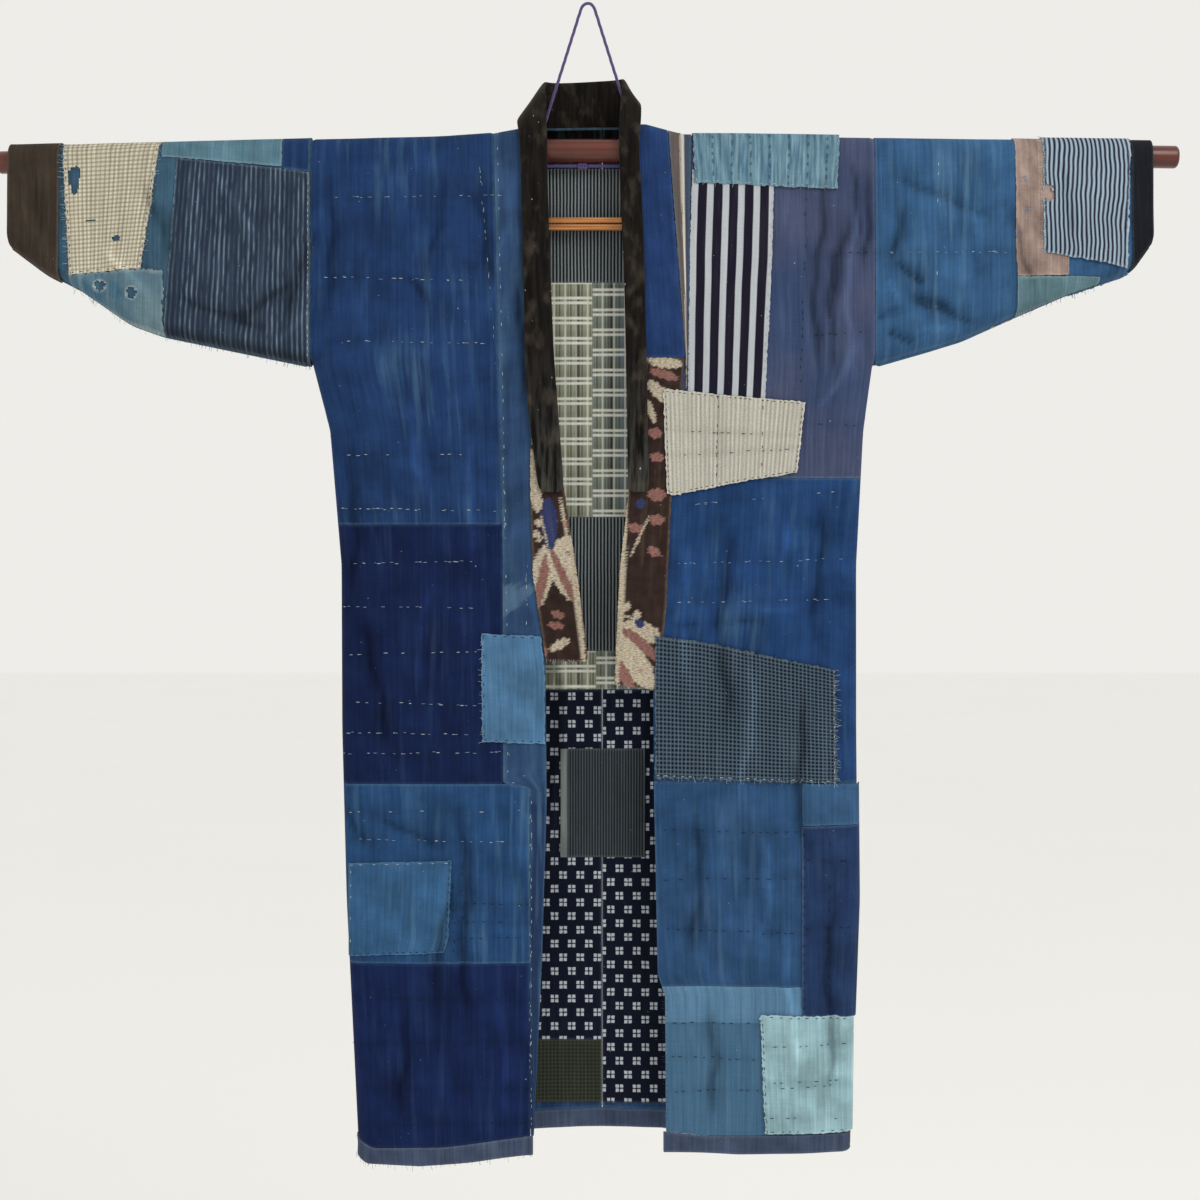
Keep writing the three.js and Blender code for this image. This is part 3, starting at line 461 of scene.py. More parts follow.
def form(x, t, part):
    """A point of the cloth's outer face: t runs up the front, below 0, over the fold and down the back."""
    behind = t > SHOULDER
    top = spring(x)
    down = np.where(behind, t - OVER, -t)
    z = top - np.maximum(down, 0)
    share = np.sqrt(1 - np.clip(1 - seam_gap(x, z, part) / SIDE_TURN, 0, 1) ** 2)
    y = depth(x, z, behind) * share * np.where(behind, 1, -1)
    angle = np.clip(t / FOLD, 0, math.pi)
    folded = (t > 0) & (t < OVER)
    y = np.where(folded, -FOLD * np.cos(angle), y)
    z = np.where(folded, top + FOLD * np.sin(angle), z)
    return np.stack([x, y, z], -1)


def in_metres(lines):
    """Lines given by the x and z of both their ends in millimetres, with any further values kept."""
    return [((a / 1000, b / 1000), (c / 1000, d / 1000), *rest) for a, b, c, d, *rest in lines]


# Creases in the hanging cloth, in millimetres: x and z of both ends and half width, then how far each stands
# out (or, below 0, sinks in) in tenths of a millimetre, which CREASE_DEPTH multiplies. The same value paints
# shade along each trough and light along each ridge.
CREASE_DEPTH = 1.7
creases = {
    "front": in_metres([
        (-272, -871, -239, -947, 6, -25), (-138, -860, -130, -1154, 8, -30),
        (-87, -174, -105, -370, 6, 22), (-67, -229, -76, -468, 6, -25), (-288, -196, -277, -370, 7, -30),
        (-201, -392, -179, -555, 9, 25), (-245, -664, -223, -838, 9, -28), (-169, -621, -190, -773, 8, 25),
        (-201, -1077, -206, -1252, 8, -28), (-100, -1080, -90, -1250, 9, 25),
        (-160, -190, -185, -340, 8, -22), (-235, -250, -250, -420, 7, 20), (95, -686, 131, -692, 5, -20),
        (131, -692, 214, -686, 5, -20), (187, -674, 237, -669, 5, 20), (152, -555, 149, -838, 9, -30),
        (256, -533, 250, -708, 8, -28), (125, -871, 114, -1077, 8, -28), (191, -882, 196, -1077, 9, 28),
        (130, -1100, 140, -1250, 9, -28), (215, -560, 205, -660, 9, 25), (285, -220, 270, -360, 8, -25),
        (270, -970, 262, -1220, 8, -30), (300, -370, 250, -450, 8, 25), (-614, -173, -605, -282, 4, -18),
        (-625, -180, -622, -260, 4, 15), (-500, -190, -450, -310, 8, -22), (-420, -180, -360, -270, 8, 22),
        (-400, -360, -310, -300, 9, -28), (-350, -380, -290, -330, 7, 22), (317, -352, 355, -346, 6, -25),
        (353, -333, 447, -357, 6, -25), (360, -367, 424, -365, 6, 20), (322, -195, 453, -239, 8, -22),
        (400, -170, 440, -300, 8, 20), (520, -170, 530, -280, 5, -18), (-200, -300, -165, -335, 5, -30),
        (-130, -200, -95, -330, 7, -24), (-255, -480, -262, -690, 9, -26),
        (-120, -450, -135, -640, 10, 24), (-230, -900, -160, -930, 7, -24),
        (-155, -960, -165, -1110, 9, -26), (258, -155, 250, -440, 7, -30), (292, -190, 286, -440, 7, 28),
        (274, -250, 268, -450, 6, -24), (180, -720, 170, -900, 9, 26), (230, -740, 240, -960, 9, -28),
        (105, -580, 110, -780, 8, 24), (-460, -330, -340, -360, 7, -24), (-300, -240, -330, -360, 8, -26),
        (-540, -260, -470, -340, 7, 20), (460, -220, 500, -330, 7, -24), (342, -225, 337, -300, 6, -34),
        (220, -1000, 225, -1200, 8, 24), (337, -290, 378, -318, 6, -36), (355, -328, 412, -343, 6, -34),
        (322, -368, 364, -384, 5, -28), (330, -310, 350, -340, 6, 26), (290, -165, 296, -280, 5, -30),
        (304, -175, 307, -305, 5, -30),
    ]),
    "back": in_metres([
        (-220, -250, -170, -520, 10, -30), (210, -240, 170, -500, 10, -30),
        (-120, -500, -140, -860, 9, 28), (130, -520, 150, -880, 9, 28), (-210, -780, -190, -1120, 9, -30),
        (220, -800, 200, -1140, 10, -30), (-40, -600, -30, -1000, 10, -28), (70, -550, 80, -980, 9, 25),
        (-90, -950, -80, -1220, 9, -28), (260, -400, 250, -700, 8, -28), (-270, -380, -250, -660, 8, 28),
        (120, -1000, 130, -1220, 9, -28), (-450, -190, -360, -300, 9, -25), (420, -190, 360, -310, 9, -25),
        (-550, -180, -530, -280, 7, 20), (520, -180, 500, -290, 7, 20),
    ]),
}

# Rows of running stitches on the fronts, as x and z of both ends in millimetres. The quilted cloth sinks a
# little along each, and shade is painted along each.
white_rows = in_metres([
    (-288, -217, -92, -215), (-291, -305, -125, -309), (-288, -375, -114, -379), (-283, -502, -92, -500),
    (-272, -560, -92, -563), (-272, -621, -119, -618), (-271, -668, -125, -670), (-270, -721, -119, -718),
    (-270, -773, -119, -777), (-270, -806, -118, -809), (-270, -830, -93, -828), (-266, -894, -65, -892),
    (-264, -924, -65, -927), (-93, -490, -91, -604), (-119, -185, -103, -381), (-63, -882, -63, -1056),
    (-64, -1077, -62, -1241), (-67, -621, -67, -686), (105, -557, 193, -549), (193, -549, 285, -540),
    (94, -621, 288, -616), (95, -664, 278, -660), (317, -278, 466, -278), (387, -163, 383, -392),
])
dark_rows = in_metres([
    (-150, -995, -65, -995), (-150, -1014, -65, -1016), (-150, -1033, -65, -1031),
    (-147, -950, -147, -1050), (-138, -950, -138, -1050), (-260, -1098, -64, -1100),
    (-259, -1148, -63, -1145), (-257, -1195, -63, -1198), (-255, -1237, -63, -1234),
    (241, -212, 234, -430), (245, -283, 308, -278), (244, -370, 306, -365), (240, -468, 304, -470),
    (86, -474, 228, -481), (86, -503, 228, -495), (143, -438, 141, -525), (193, -448, 191, -515),
    (85, -914, 230, -916), (85, -968, 228, -966), (85, -1022, 228, -1027), (266, -914, 264, -1111),
    (240, -946, 292, -948), (240, -1022, 292, -1020), (92, -1125, 187, -1125), (92, -1162, 187, -1165),
    (92, -1200, 187, -1198), (197, -1150, 286, -1147), (197, -1189, 286, -1187), (197, -1195, 286, -1192),
    (197, -1227, 286, -1228),
])
waves = np.random.default_rng(5)
crinkle = [
    (waves.uniform(-1, 1) / waves.uniform(0.005, 0.012), waves.uniform(-1, 1) / waves.uniform(0.008, 0.02),
     waves.uniform(0, 6.28), waves.uniform(0.00008, 0.0002)) for _ in range(18)
]


def along_line(x, z, start, end):
    """How far points lie along a line, from 0 to its length, and how far from it."""
    run = np.array(end) - np.array(start)
    length = np.linalg.norm(run)
    ahead = ((x - start[0]) * run[0] + (z - start[1]) * run[1]) / length
    nearest = np.clip(ahead, 0, length)
    away = np.hypot(x - start[0] - nearest * run[0] / length, z - start[1] - nearest * run[1] / length)
    return ahead, length, away


def relief(x, z, behind):
    """How far creases, quilting and crumpling move all layers of cloth outwards, and the painted shade and
    light that go with them: shade in crease troughs and along stitch rows, light on crease ridges.
    """
    shade = np.zeros_like(x)
    bent_x = x + 0.0045 * np.sin(z * 34) + 0.0015 * np.sin(z * 110 + 1)
    bent_z = z + 0.0045 * np.sin(x * 31) + 0.0015 * np.sin(x * 120 + 2)
    total = sum(size * np.sin(kx * x + kz * z + at) for kx, kz, at, size in crinkle)
    for face, wanted in (("front", ~behind), ("back", behind)):
        for start, end, width, height in creases[face]:
            width, height = width / 1000, height / 10000
            ahead, length, away = along_line(bent_x, bent_z, start, end)
            fade = wanted * soft(ahead / (0.3 * length)) * soft((length - ahead) / (0.3 * length))
            total = total + CREASE_DEPTH * height * fade * np.exp(-((away / width) ** 2))
            # Painted shade along crease troughs and painted light along ridges, in a wide and a fine band.
            wide_shading = 0.45 * np.exp(-((away / width) ** 2))
            fine_shading = 0.9 * np.exp(-((away / (0.42 * width)) ** 2))
            shade = shade + height / 0.0032 * fade * (wide_shading + fine_shading)
    for start, end in white_rows + dark_rows:
        ahead, length, away = along_line(x, z, start, end)
        ends = soft(ahead / 0.01 + 1) * soft((length - ahead) / 0.01 + 1)
        pucker = 0.00045 * np.sin(ahead / 0.0022) * np.exp(-((away / 0.006) ** 2))
        total = total + ~behind * ends * (pucker - 0.0009 * np.exp(-((away / 0.0035) ** 2)))
        # Painted shade along each stitch row.
        shade = shade - ~behind * ends * 0.16 * np.exp(-((away / 0.004) ** 2))
    near_fold = soft((spring(x) - z) / 0.06)
    return total * (0.15 + 0.85 * near_fold), shade


def outline_of(node, face, clear=-1e-5):
    """The four edges of a CAD piece as places in x and z, measured on its mesh."""
    points = edges_of([node], face, clear).reshape(-1, 3)
    x, z = points[:, 0], points[:, 2]
    wide, tall = np.ptp(x), np.ptp(z)
    u = (x - x.min()) / wide * (0.3 if tall > 4 * wide else 1)
    v = (z - z.min()) / tall * (0.3 if wide > 4 * tall else 1)
    corner = {}
    for name, (a, b) in {"BL": (-1, -1), "BR": (1, -1), "TL": (-1, 1), "TR": (1, 1)}.items():
        best = np.argmax(a * u + b * v)
        corner[name] = (x[best], z[best])
    edges = {}
    for name, a, b, way, far in (
        ("left", "BL", "TL", 1, 0), ("right", "BR", "TR", 1, 1),
        ("bottom", "BL", "BR", 0, 0), ("top", "TL", "TR", 0, 1),
    ):
        low, high = corner[a][way] + INSET, corner[b][way] - INSET
        along = np.linspace(low, high, 8 + int((high - low) / 0.002))
        reach = cut_through([node], 2 * way, along, face, clear)[far]
        edges[name] = np.stack([reach, along] if way else [along, reach], -1)
    return edges


def to_run(edge, part):
    """Turns an edge's heights into places along the cloth, from the front below 0 to the fold above it."""
    x, z = edge.T
    if part == "body":
        low = z < UNDERARM_Z
        x = np.where(low, np.clip(x, np.interp(z, side_z, side_left), np.interp(z, side_z, side_right)), x)
        x = np.where(low, x, np.clip(x, armhole_left, armhole_right))
    else:
        under = np.interp(x, under_x[part], under_z[part])
        z = np.where(z < under + 0.004, under, z)
    up = z - spring(x)
    return np.stack([x, np.where(up > 0, FOLD * np.arcsin(np.clip(up / FOLD, 0, 1)), up)], -1)


def ticks(length, spacing):
    """Places along an edge, from 0 to 1: closer together near both ends."""
    near = [0.0, 0.0009, 0.0022, 0.0042]
    middle = np.linspace(0.007, length - 0.007, max(2, int((length - 0.014) / spacing)))
    return np.array(near + middle.tolist() + [length - n for n in near[::-1]]) / length


def by_length(edge, shares):
    """Points along an edge at shares of its length."""
    steps = np.hypot(*np.diff(edge, axis=0).T)
    at = np.concatenate([[0], np.cumsum(steps)]) / steps.sum()
    return np.stack([np.interp(shares, at, edge[:, k]) for k in (0, 1)], -1)


# What has been laid so far, and the lines just inside each piece's edges, for the stitching.
cloth_pieces = []
border_lines = {}


def lay(node, level, spacing, material, slot, shape="flat", ragged=0.0, tuck=0.0, holes=(), marks=None):
    """Cuts one piece of cloth to a CAD piece's outline, lays it on the jacket's form and gives it its wall.

    It lies flat on the front, up to the "shoulder" or in a "wrap" over it, is a "tube", or lies "behind", as
    "lining" there or as a "yoke" down from the shoulder. Holes are x, z, half width and half height.
    """
    part = node.split("_")[1] if node.startswith(("sleeve", "cuff")) else "body"
    face = 1 if shape in ("behind", "lining", "yoke") else -1
    clear = 0.0005 if shape == "wrap" else -1e-5
    edges = {key: to_run(edge, part) for key, edge in outline_of(node, face, clear).items()}
    if shape == "shoulder":
        edges["top"][:, 1] = SHOULDER
    if shape in ("behind", "lining", "yoke"):
        for edge in edges.values():
            edge[:, 1] = OVER - edge[:, 1]
        edges = {
            "bottom": edges["top"], "top": edges["bottom"],
            "left": edges["left"][::-1], "right": edges["right"][::-1],
        }
    if shape == "yoke":
        edges["bottom"][:, 1] = SHOULDER
    if shape == "tube":
        low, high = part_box(node)
        stations = np.linspace(low.x, high.x, 60)
        under = np.interp(stations, under_x[part], under_z[part]) - spring(stations)
        edges = {"bottom": np.stack([stations, under], -1), "top": np.stack([stations, OVER - under], -1)}
        edges["left"] = np.array([edges["bottom"][0], edges["top"][0]])
        edges["right"] = np.array([edges["bottom"][-1], edges["top"][-1]])
    if shape == "wrap":
        rear = to_run(outline_of(node, 1, clear)["bottom"], part)
        rear[:, 1] = OVER - rear[:, 1]
        edges["top"] = rear
        for key, end in (("left", 0), ("right", -1)):
            ridge_at = edges[key][-1][0]
            edges[key] = np.array([edges["bottom"][end], (ridge_at, SHOULDER), edges["top"][end]])
    for key, end in (("left", 0), ("right", -1)):
        edges[key][0], edges[key][-1] = edges["bottom"][end], edges["top"][end]
    size = [
        (np.hypot(*np.diff(edges[a], axis=0).T).sum() + np.hypot(*np.diff(edges[b], axis=0).T).sum()) / 2
        for a, b in (("bottom", "top"), ("left", "right"))
    ]
    across, up = ticks(size[0], spacing), ticks(size[1], spacing)
    bottom, top = by_length(edges["bottom"], across), by_length(edges["top"], across)
    left, right = by_length(edges["left"], up), by_length(edges["right"], up)
    u, v = across[None, :, None], up[:, None, None]
    spot = (
        (1 - v) * bottom[None] + v * top[None] + (1 - u) * left[:, None] + u * right[:, None]
        - (1 - u) * (1 - v) * bottom[0] - u * (1 - v) * bottom[-1] - (1 - u) * v * top[0] - u * v * top[-1]
    )
    place = np.stack(np.broadcast_arrays(across[None, :] * size[0], up[:, None] * size[1]), -1)
    rim = np.minimum(place, np.array(size) - place).min(-1)
    if ragged:
        dice = np.random.default_rng(seed_of(node))
        shift = dice.normal(0, ragged, spot.shape)
        free = seam_fade(spot[..., 0], form(spot[..., 0], spot[..., 1], part)[..., 2], part)
        spot = spot + shift * (free * np.exp(-(rim / 0.002) ** 2))[..., None]
    x, t = meet_seam(spot[..., 0], spot[..., 1], part)
    tiny = 1e-4
    outward = np.cross(
        form(x + tiny, t, part) - form(x - tiny, t, part), form(x, t + tiny, part) - form(x, t - tiny, part)
    )
    outward /= np.maximum(np.linalg.norm(outward, axis=-1), 1e-12)[..., None]
    point = bare = form(x, t, part)
    edge_fade = seam_fade(x, point[..., 2], part)
    stand, shade = relief(x, point[..., 2], t > SHOULDER)
    lift = LAYER_LIFT[level] + edge_fade * stand - tuck * np.exp(-(rim / 0.003) ** 2)
    point = point + outward * lift[..., None]
    border_lines[node] = {"bottom": point[2], "top": point[-3], "left": point[:, 2], "right": point[:, -3]}
    rows, columns = x.shape
    first = np.arange(rows - 1)[:, None] * columns + np.arange(columns - 1)
    quads = np.stack([first, first + 1, first + 1 + columns, first + columns], -1).reshape(-1, 4)
    for hole_x, hole_z, wide, tall in holes:
        du, dv = (point[..., k].ravel()[quads].mean(1) - middle for k, middle in ((0, hole_x), (2, hole_z)))
        turn = np.arctan2(dv, du)
        bite = 1 + 0.25 * np.sin(3 * turn + hole_x * 900) + 0.15 * np.sin(7 * turn)
        quads = quads[((du / wide) ** 2 + (dv / tall) ** 2 > bite) | (t.ravel()[quads].mean(1) > SHOULDER)]
    piece = add_mesh(f"{node}_cloth", point.reshape(-1, 3).tolist(), quads.tolist())
    mesh = piece.data
    layer = mesh.uv_layers.new(name="cloth")
    corners = np.array([loop.vertex_index for loop in mesh.loops])
    layer.data.foreach_set("uv", place.reshape(-1, 2)[corners].astype("f").ravel())
    # The fold value is painted shade and light: dark along crease troughs and stitch rows, light along crease
    # ridges.
    values = {"rim": rim, "fold": shade, **(marks(x, point[..., 2]) if marks else {})}
    for key, value in values.items():
        mesh.attributes.new(key, "FLOAT", "POINT").data.foreach_set("value", value.astype("f").ravel())
    pick(piece)
    bpy.ops.object.mode_set(mode="EDIT")
    bpy.ops.mesh.delete_loose()
    bpy.ops.object.mode_set(mode="OBJECT")
    apply_modifier(piece, "SOLIDIFY", thickness=LAYER_WALL[level], offset=-1)
    bpy.ops.object.shade_smooth_by_angle(angle=math.radians(50))
    piece.data.materials.append(material)
    finish_piece(piece, slot, node)
    wide, tall = (np.linalg.norm(np.diff(bare, axis=way), axis=-1).sum(way).max() for way in (1, 0))
    cloth_pieces.append(piece)
    return piece


def meet_seam(x, t, part):
    """Moves points that all but reach a side seam or a sleeve's underside exactly onto it."""
    behind = t > SHOULDER
    z = spring(x) - np.where(behind, t - OVER, -t)
    if part == "body":
        low = (z < UNDERARM_Z) & ((t < 0) | (t > OVER))
        left, right = np.interp(z, side_z, side_left), np.interp(z, side_z, side_right)
        x = np.where(low & (x < left + SNAP), left, x)
        return np.where(low & (x > right - SNAP), right, x), t
    under = np.interp(x, under_x[part], under_z[part]) - spring(x)
    t = np.where(t > OVER - under - SNAP, OVER - under, np.where(t < under + SNAP, under, t))
    return x, np.clip(t, under, OVER - under)


def seed_of(text):
    """A number of a piece's own, from the letters of its name."""
    return sum(ord(letter) * (i + 1) for i, letter in enumerate(text))


def seam_fade(x, z, part):
    """Falls to 0 at the side seams and sleeve undersides, where front and back have to meet."""
    return soft(seam_gap(x, z, part) / 0.02)


def cloth(name, paint, wear=0.5, pale=dye(88, 124, 148), cloud=0.2, streak=0.25):
    """A woven cotton: its pattern, faded in clouds and in streaks along its warp, rubbed at its edges, and
    painted with shade in its creases and light on their ridges.
    """
    material, tree, shader, place = new_material(name, 0.95, 0.02)
    at = wire(tree, "ShaderNodeUVMap", {}, uv_map="cloth").outputs[0]
    split = wire(tree, "ShaderNodeSeparateXYZ", {0: at}).outputs
    colour = paint(tree, at, split[0], split[1])
    mist = noise(tree, place, 9.0, 6.0)
    warp = noise(tree, at, (1100.0, 30.0, 1.0), 4.0)
    weft = noise(tree, at, (30.0, 1100.0, 1.0), 4.0)
    slub = noise(tree, at, (330.0, 9.0, 1.0), 5.0)
    faded = noise(tree, at, (120.0, 9.0, 1.0), 7.0)
    light = 1.0
    for pattern, share in ((mist, 2 * cloud), (warp, 2 * streak), (weft, 1.2 * streak), (slub, 3.6 * streak)):
        light = calc(tree, "MULTIPLY_ADD", calc(tree, "SUBTRACT", pattern, 0.5), share, light)
    # Painted shade in crease troughs and along stitch rows, and painted light on crease ridges, from the fold
    # value.
    light = calc(tree, "MULTIPLY", light, spread(tree, mark(tree, "fold"), -1.0, 1.0, 0.52, 1.48))
    colour = wire(tree, "ShaderNodeVectorMath", {0: colour, 3: light}, operation="SCALE").outputs[0]
    edge = spread(tree, mark(tree, "rim"), 0.0, 0.003, 0.45, 0.0)
    rubbed = calc(tree, "MULTIPLY", edge, noise(tree, place, 160.0, 5.0))
    streaks = calc(tree, "MULTIPLY", spread(tree, faded, 0.5, 0.78), spread(tree, mist, 0.35, 0.65))
    rubbed = calc(tree, "MULTIPLY_ADD", streaks, wear, rubbed)
    colour = tint(tree, rubbed, colour, pale)
    specks = spread(tree, noise(tree, at, (260.0, 420.0, 1.0), 1.0), 0.79, 0.84, 0.0, 0.7)
    colour = tint(tree, specks, colour, dye(190, 200, 206))
    threads = calc(tree, "ADD", calc(tree, "ADD", warp, weft), noise(tree, place, 420.0, 4.0))
    threads = calc(tree, "MULTIPLY_ADD", noise(tree, at, (190.0, 60.0, 1.0), 3.0), 2.0, threads)
    colour_and_relief(tree, shader, colour, threads, 0.5, 0.0009)
    return material


def shade_of(screen, share):
    """A colour made darker or lighter by a share."""
    return (*(min(1.0, c * share) for c in dye(*screen)[:3]), 1.0)


def plain(*screen):
    """One dye, a little uneven."""
    def paint(tree, at, u, v):
        patch = noise(tree, at, 23.0, 3.0)
        return tint(tree, spread(tree, patch, 0.35, 0.65), shade_of(screen, 0.78), shade_of(screen, 1.22))
    return paint


indigo_mid = cloth("indigo_mid", plain(29, 53, 93), 0.45)
indigo_dark = cloth("indigo_dark", plain(17, 30, 66), 0.3, dye(60, 84, 118))
indigo_foot = cloth("indigo_foot", plain(18, 32, 71), 0.35, dye(58, 82, 118))
indigo_faded = cloth("indigo_faded", plain(34, 65, 104), 0.45, dye(96, 134, 160))


def overlap_shades(tree, at, u, v):
    """The overlap strip: pale in a patch at the belt, dark below the knee."""
    colour = plain(42, 65, 98)(tree, at, u, v)
    for name, screen in (("pale", (78, 104, 128)), ("dark", (26, 40, 72))):
        colour = tint(tree, calc(tree, "MULTIPLY", mark(tree, name), 0.7), colour, dye(*screen))
    return colour


def overlap_marks(x, z):
    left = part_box("overlap_left")[0].x
    belt = (z < -0.645) & (z > -0.685) & (x - left < (z + 0.69) * 1.2)
    return {"pale": belt * 1.0, "dark": soft((-0.88 - z) / 0.01) * 0.9}


overlap_blue = cloth("overlap_blue", overlap_shades, 0.55, dye(92, 128, 152))
waist_blue = cloth("waist_blue", plain(72, 110, 144), 0.5, dye(120, 158, 184))
thigh_blue = cloth("thigh_blue", plain(50, 87, 124), 0.5, dye(104, 144, 172))
hem_grey = cloth("hem_grey", plain(62, 73, 96), 0.4, dye(120, 128, 142))

for length, material, slot, *shape in (
    ("upper", indigo_mid, "indigo_mid", "shoulder"), ("middle", indigo_dark, "indigo_dark"),
    ("lower", indigo_faded, "indigo_faded"), ("foot", indigo_foot, "indigo_dark"),
):
    lay(f"front_left_{length}", 0, 0.004, material, slot, *shape, tuck=SEAM_TUCK)
lay("overlap_left", 0, 0.003, overlap_blue, "overlap_blue", "shoulder", tuck=0.001, marks=overlap_marks)
lay("hem_front_left", 0, 0.004, hem_grey, "hem_grey")
lay("patch_left_waist", 1, 0.0025, waist_blue, "overlap_blue", ragged=0.0004)
lay("patch_left_thigh", 1, 0.0025, thigh_blue, "indigo_faded", ragged=0.0003)


def stripe(tree, value, pitch, share, shift=0.0, blur=0.12):
    """Lines square to a length: 1 inside each line, which fills a share of the pitch."""
    moved = calc(tree, "FRACT", calc(tree, "MULTIPLY_ADD", value, 1 / pitch, shift + 0.5))
    middle = calc(tree, "ABSOLUTE", calc(tree, "SUBTRACT", moved, 0.5))
    return spread(tree, middle, share / 2 - blur / 2, share / 2 + blur / 2, 1.0, 0.0)


def waver(tree, at, value, size, scale=14.0):
    """Makes a pattern's lines wander a little, as in hand weaving."""
    return calc(tree, "MULTIPLY_ADD", calc(tree, "SUBTRACT", noise(tree, at, scale), 0.5), size, value)


# The two ends of the collar's facing are pieces of an old brocade, with cream and pink petals and small dots.
def figures(petals, dots):
    """Masks for woven figures, in millimetres, with a half width in tenths: lens-shaped petals, and dots."""
    def masks_at(x, z):
        sway = 0.0008 * np.sin(z * 1900 + 2 * np.sin(x * 700))
        x, z = x + sway, z + 0.0009 * np.sin(x * 800 + np.sin(z * 900))
        masks = {"cream": np.zeros_like(x), "pink": np.zeros_like(x), "blue": np.zeros_like(x)}
        for kind, *line in petals:
            start, end, width = in_metres([line])[0]
            ahead, length, away = along_line(x, z, start, end)
            taper = np.sqrt(np.clip(ahead * (length - ahead), 0, None)) * 2 / length
            mask = soft((width / 10000 * taper - away) / 0.0008 + 0.5) * (ahead > 0) * (ahead < length)
            for other in masks:
                masks[other] = np.maximum(masks[other], mask) if other == kind else masks[other] * (1 - mask)
        for kind, dot_x, dot_z, size in dots:
            away = np.hypot(x - dot_x / 1000, (z - dot_z / 1000) * 0.9)
            masks[kind] = np.maximum(masks[kind], soft((size / 10000 - away) / 0.001 + 0.5))
        return masks
    return masks_at


def brocade_paint(tree, at, u, v):
    satin = noise(tree, at, 90.0, 4.0)
    worn = spread(tree, noise(tree, at, (300.0, 1100.0, 1.0), 3.0), 0.36, 0.6, 0.35, 0.95)
    colour = tint(tree, satin, dye(22, 16, 16), dye(62, 46, 41))
    for name, screen in (("blue", (44, 60, 108)), ("cream", (198, 186, 164)), ("pink", (146, 104, 96))):
        colour = tint(tree, calc(tree, "MULTIPLY", mark(tree, name), worn), colour, dye(*screen))
    return colour


brocade = cloth("brocade", brocade_paint, 0.2, dye(150, 130, 110), 0.25, 0.15)
figures_left = figures([
    ("cream", -62, -495, -55, -566, 70), ("cream", -64, -545, -47, -560, 50),
    ("cream", -43, -600, -60, -672, 130), ("pink", -41, -602, -60, -682, 50),
    ("cream", -41, -600, -10, -664, 140), ("cream", -43, -604, -8, -596, 80),
    ("pink", -41, -604, -12, -668, 40), ("blue", -44, -548, -41, -606, 90),
    ("cream", -52, -566, -43, -606, 10), ("cream", -58, -598, -44, -590, 10),
    ("pink", -40, -674, -26, -680, 40), ("pink", -44, -688, -26, -690, 40),
    ("pink", -52, -712, -47, -722, 50), ("cream", -42, -716, -20, -704, 50),
    ("cream", -31, -545, -21, -600, 20), ("cream", -20, -590, -3, -735, 35),
], [
    ("cream", -54, -576, 42), ("cream", -56, -589, 42), ("pink", -24, -578, 30),
])
lay("brocade_left", 1, 0.0013, brocade, "brocade", ragged=0.0003, marks=figures_left)


# ---- Right front ----
# Four lengths again, under a mosaic of later patches: a royal blue and a brown strip beside the collar, a
# teal patch folded over the shoulder, a bold stripe, a ribbed beige patch, a small check, and mends below.
def neck_brown(tree, at, u, v):
    colour = tint(tree, spread(tree, u, 0.0075, 0.009), dye(92, 82, 78), dye(58, 66, 84))
    return tint(tree, stripe(tree, u, 0.05, 0.045, -0.155, 0.02), colour, dye(196, 190, 180))


def teal_shoulder(tree, at, u, v):
    streak = noise(tree, at, (260.0, 22.0, 1.0), 5.0)
    colour = tint(tree, spread(tree, streak, 0.38, 0.66), dye(70, 102, 122), dye(118, 150, 164))
    dash = calc(tree, "MULTIPLY", stripe(tree, waver(tree, at, u, 0.004, 30.0), 0.021, 0.06),
                stripe(tree, waver(tree, at, v, 0.02, 60.0), 0.011, 0.45))
    return tint(tree, dash, colour, dye(38, 58, 82))


def bold_stripe(tree, at, u, v):
    line = stripe(tree, waver(tree, at, u, 0.003, 9.0), 0.0165, 0.42, -0.21, 0.05)
    return tint(tree, line, dye(25, 23, 38), dye(172, 177, 182))


def purple_grey(tree, at, u, v):
    patch = noise(tree, at, 8.0, 4.0)
    return tint(tree, spread(tree, patch, 0.35, 0.65), dye(50, 66, 98), dye(70, 76, 102))


def beige_rib(tree, at, u, v):
    across = waver(tree, at, u, 0.001, 30.0)
    rib = stripe(tree, across, 0.0047, 0.34, 0.0, 0.4)
    line = stripe(tree, across, 0.0047, 0.12, 0.5, 0.12)
    tweed = noise(tree, at, (500.0, 900.0, 1.0), 3.0)
    colour = tint(tree, rib, dye(168, 165, 153), dye(198, 196, 187))
    colour = tint(tree, spread(tree, tweed, 0.5, 0.72, 0.0, 0.6), colour, dye(128, 124, 110))
    return tint(tree, calc(tree, "MULTIPLY", line, 0.35), colour, dye(124, 118, 102))


def small_check(ground, line, pitch, share):
    def paint(tree, at, u, v):
        colour = dye(*ground)
        for value in (u, v):
            band = stripe(tree, waver(tree, at, value, 0.0012, 40.0), pitch, share, 0.0, 0.3)
            colour = tint(tree, calc(tree, "MULTIPLY", band, 0.55), colour, dye(*line))
        return colour
    return paint


def foot_teal(tree, at, u, v):
    top = spread(tree, v, 0.1195, 0.1205)
    return tint(tree, top, dye(66, 100, 128), dye(82, 118, 148))


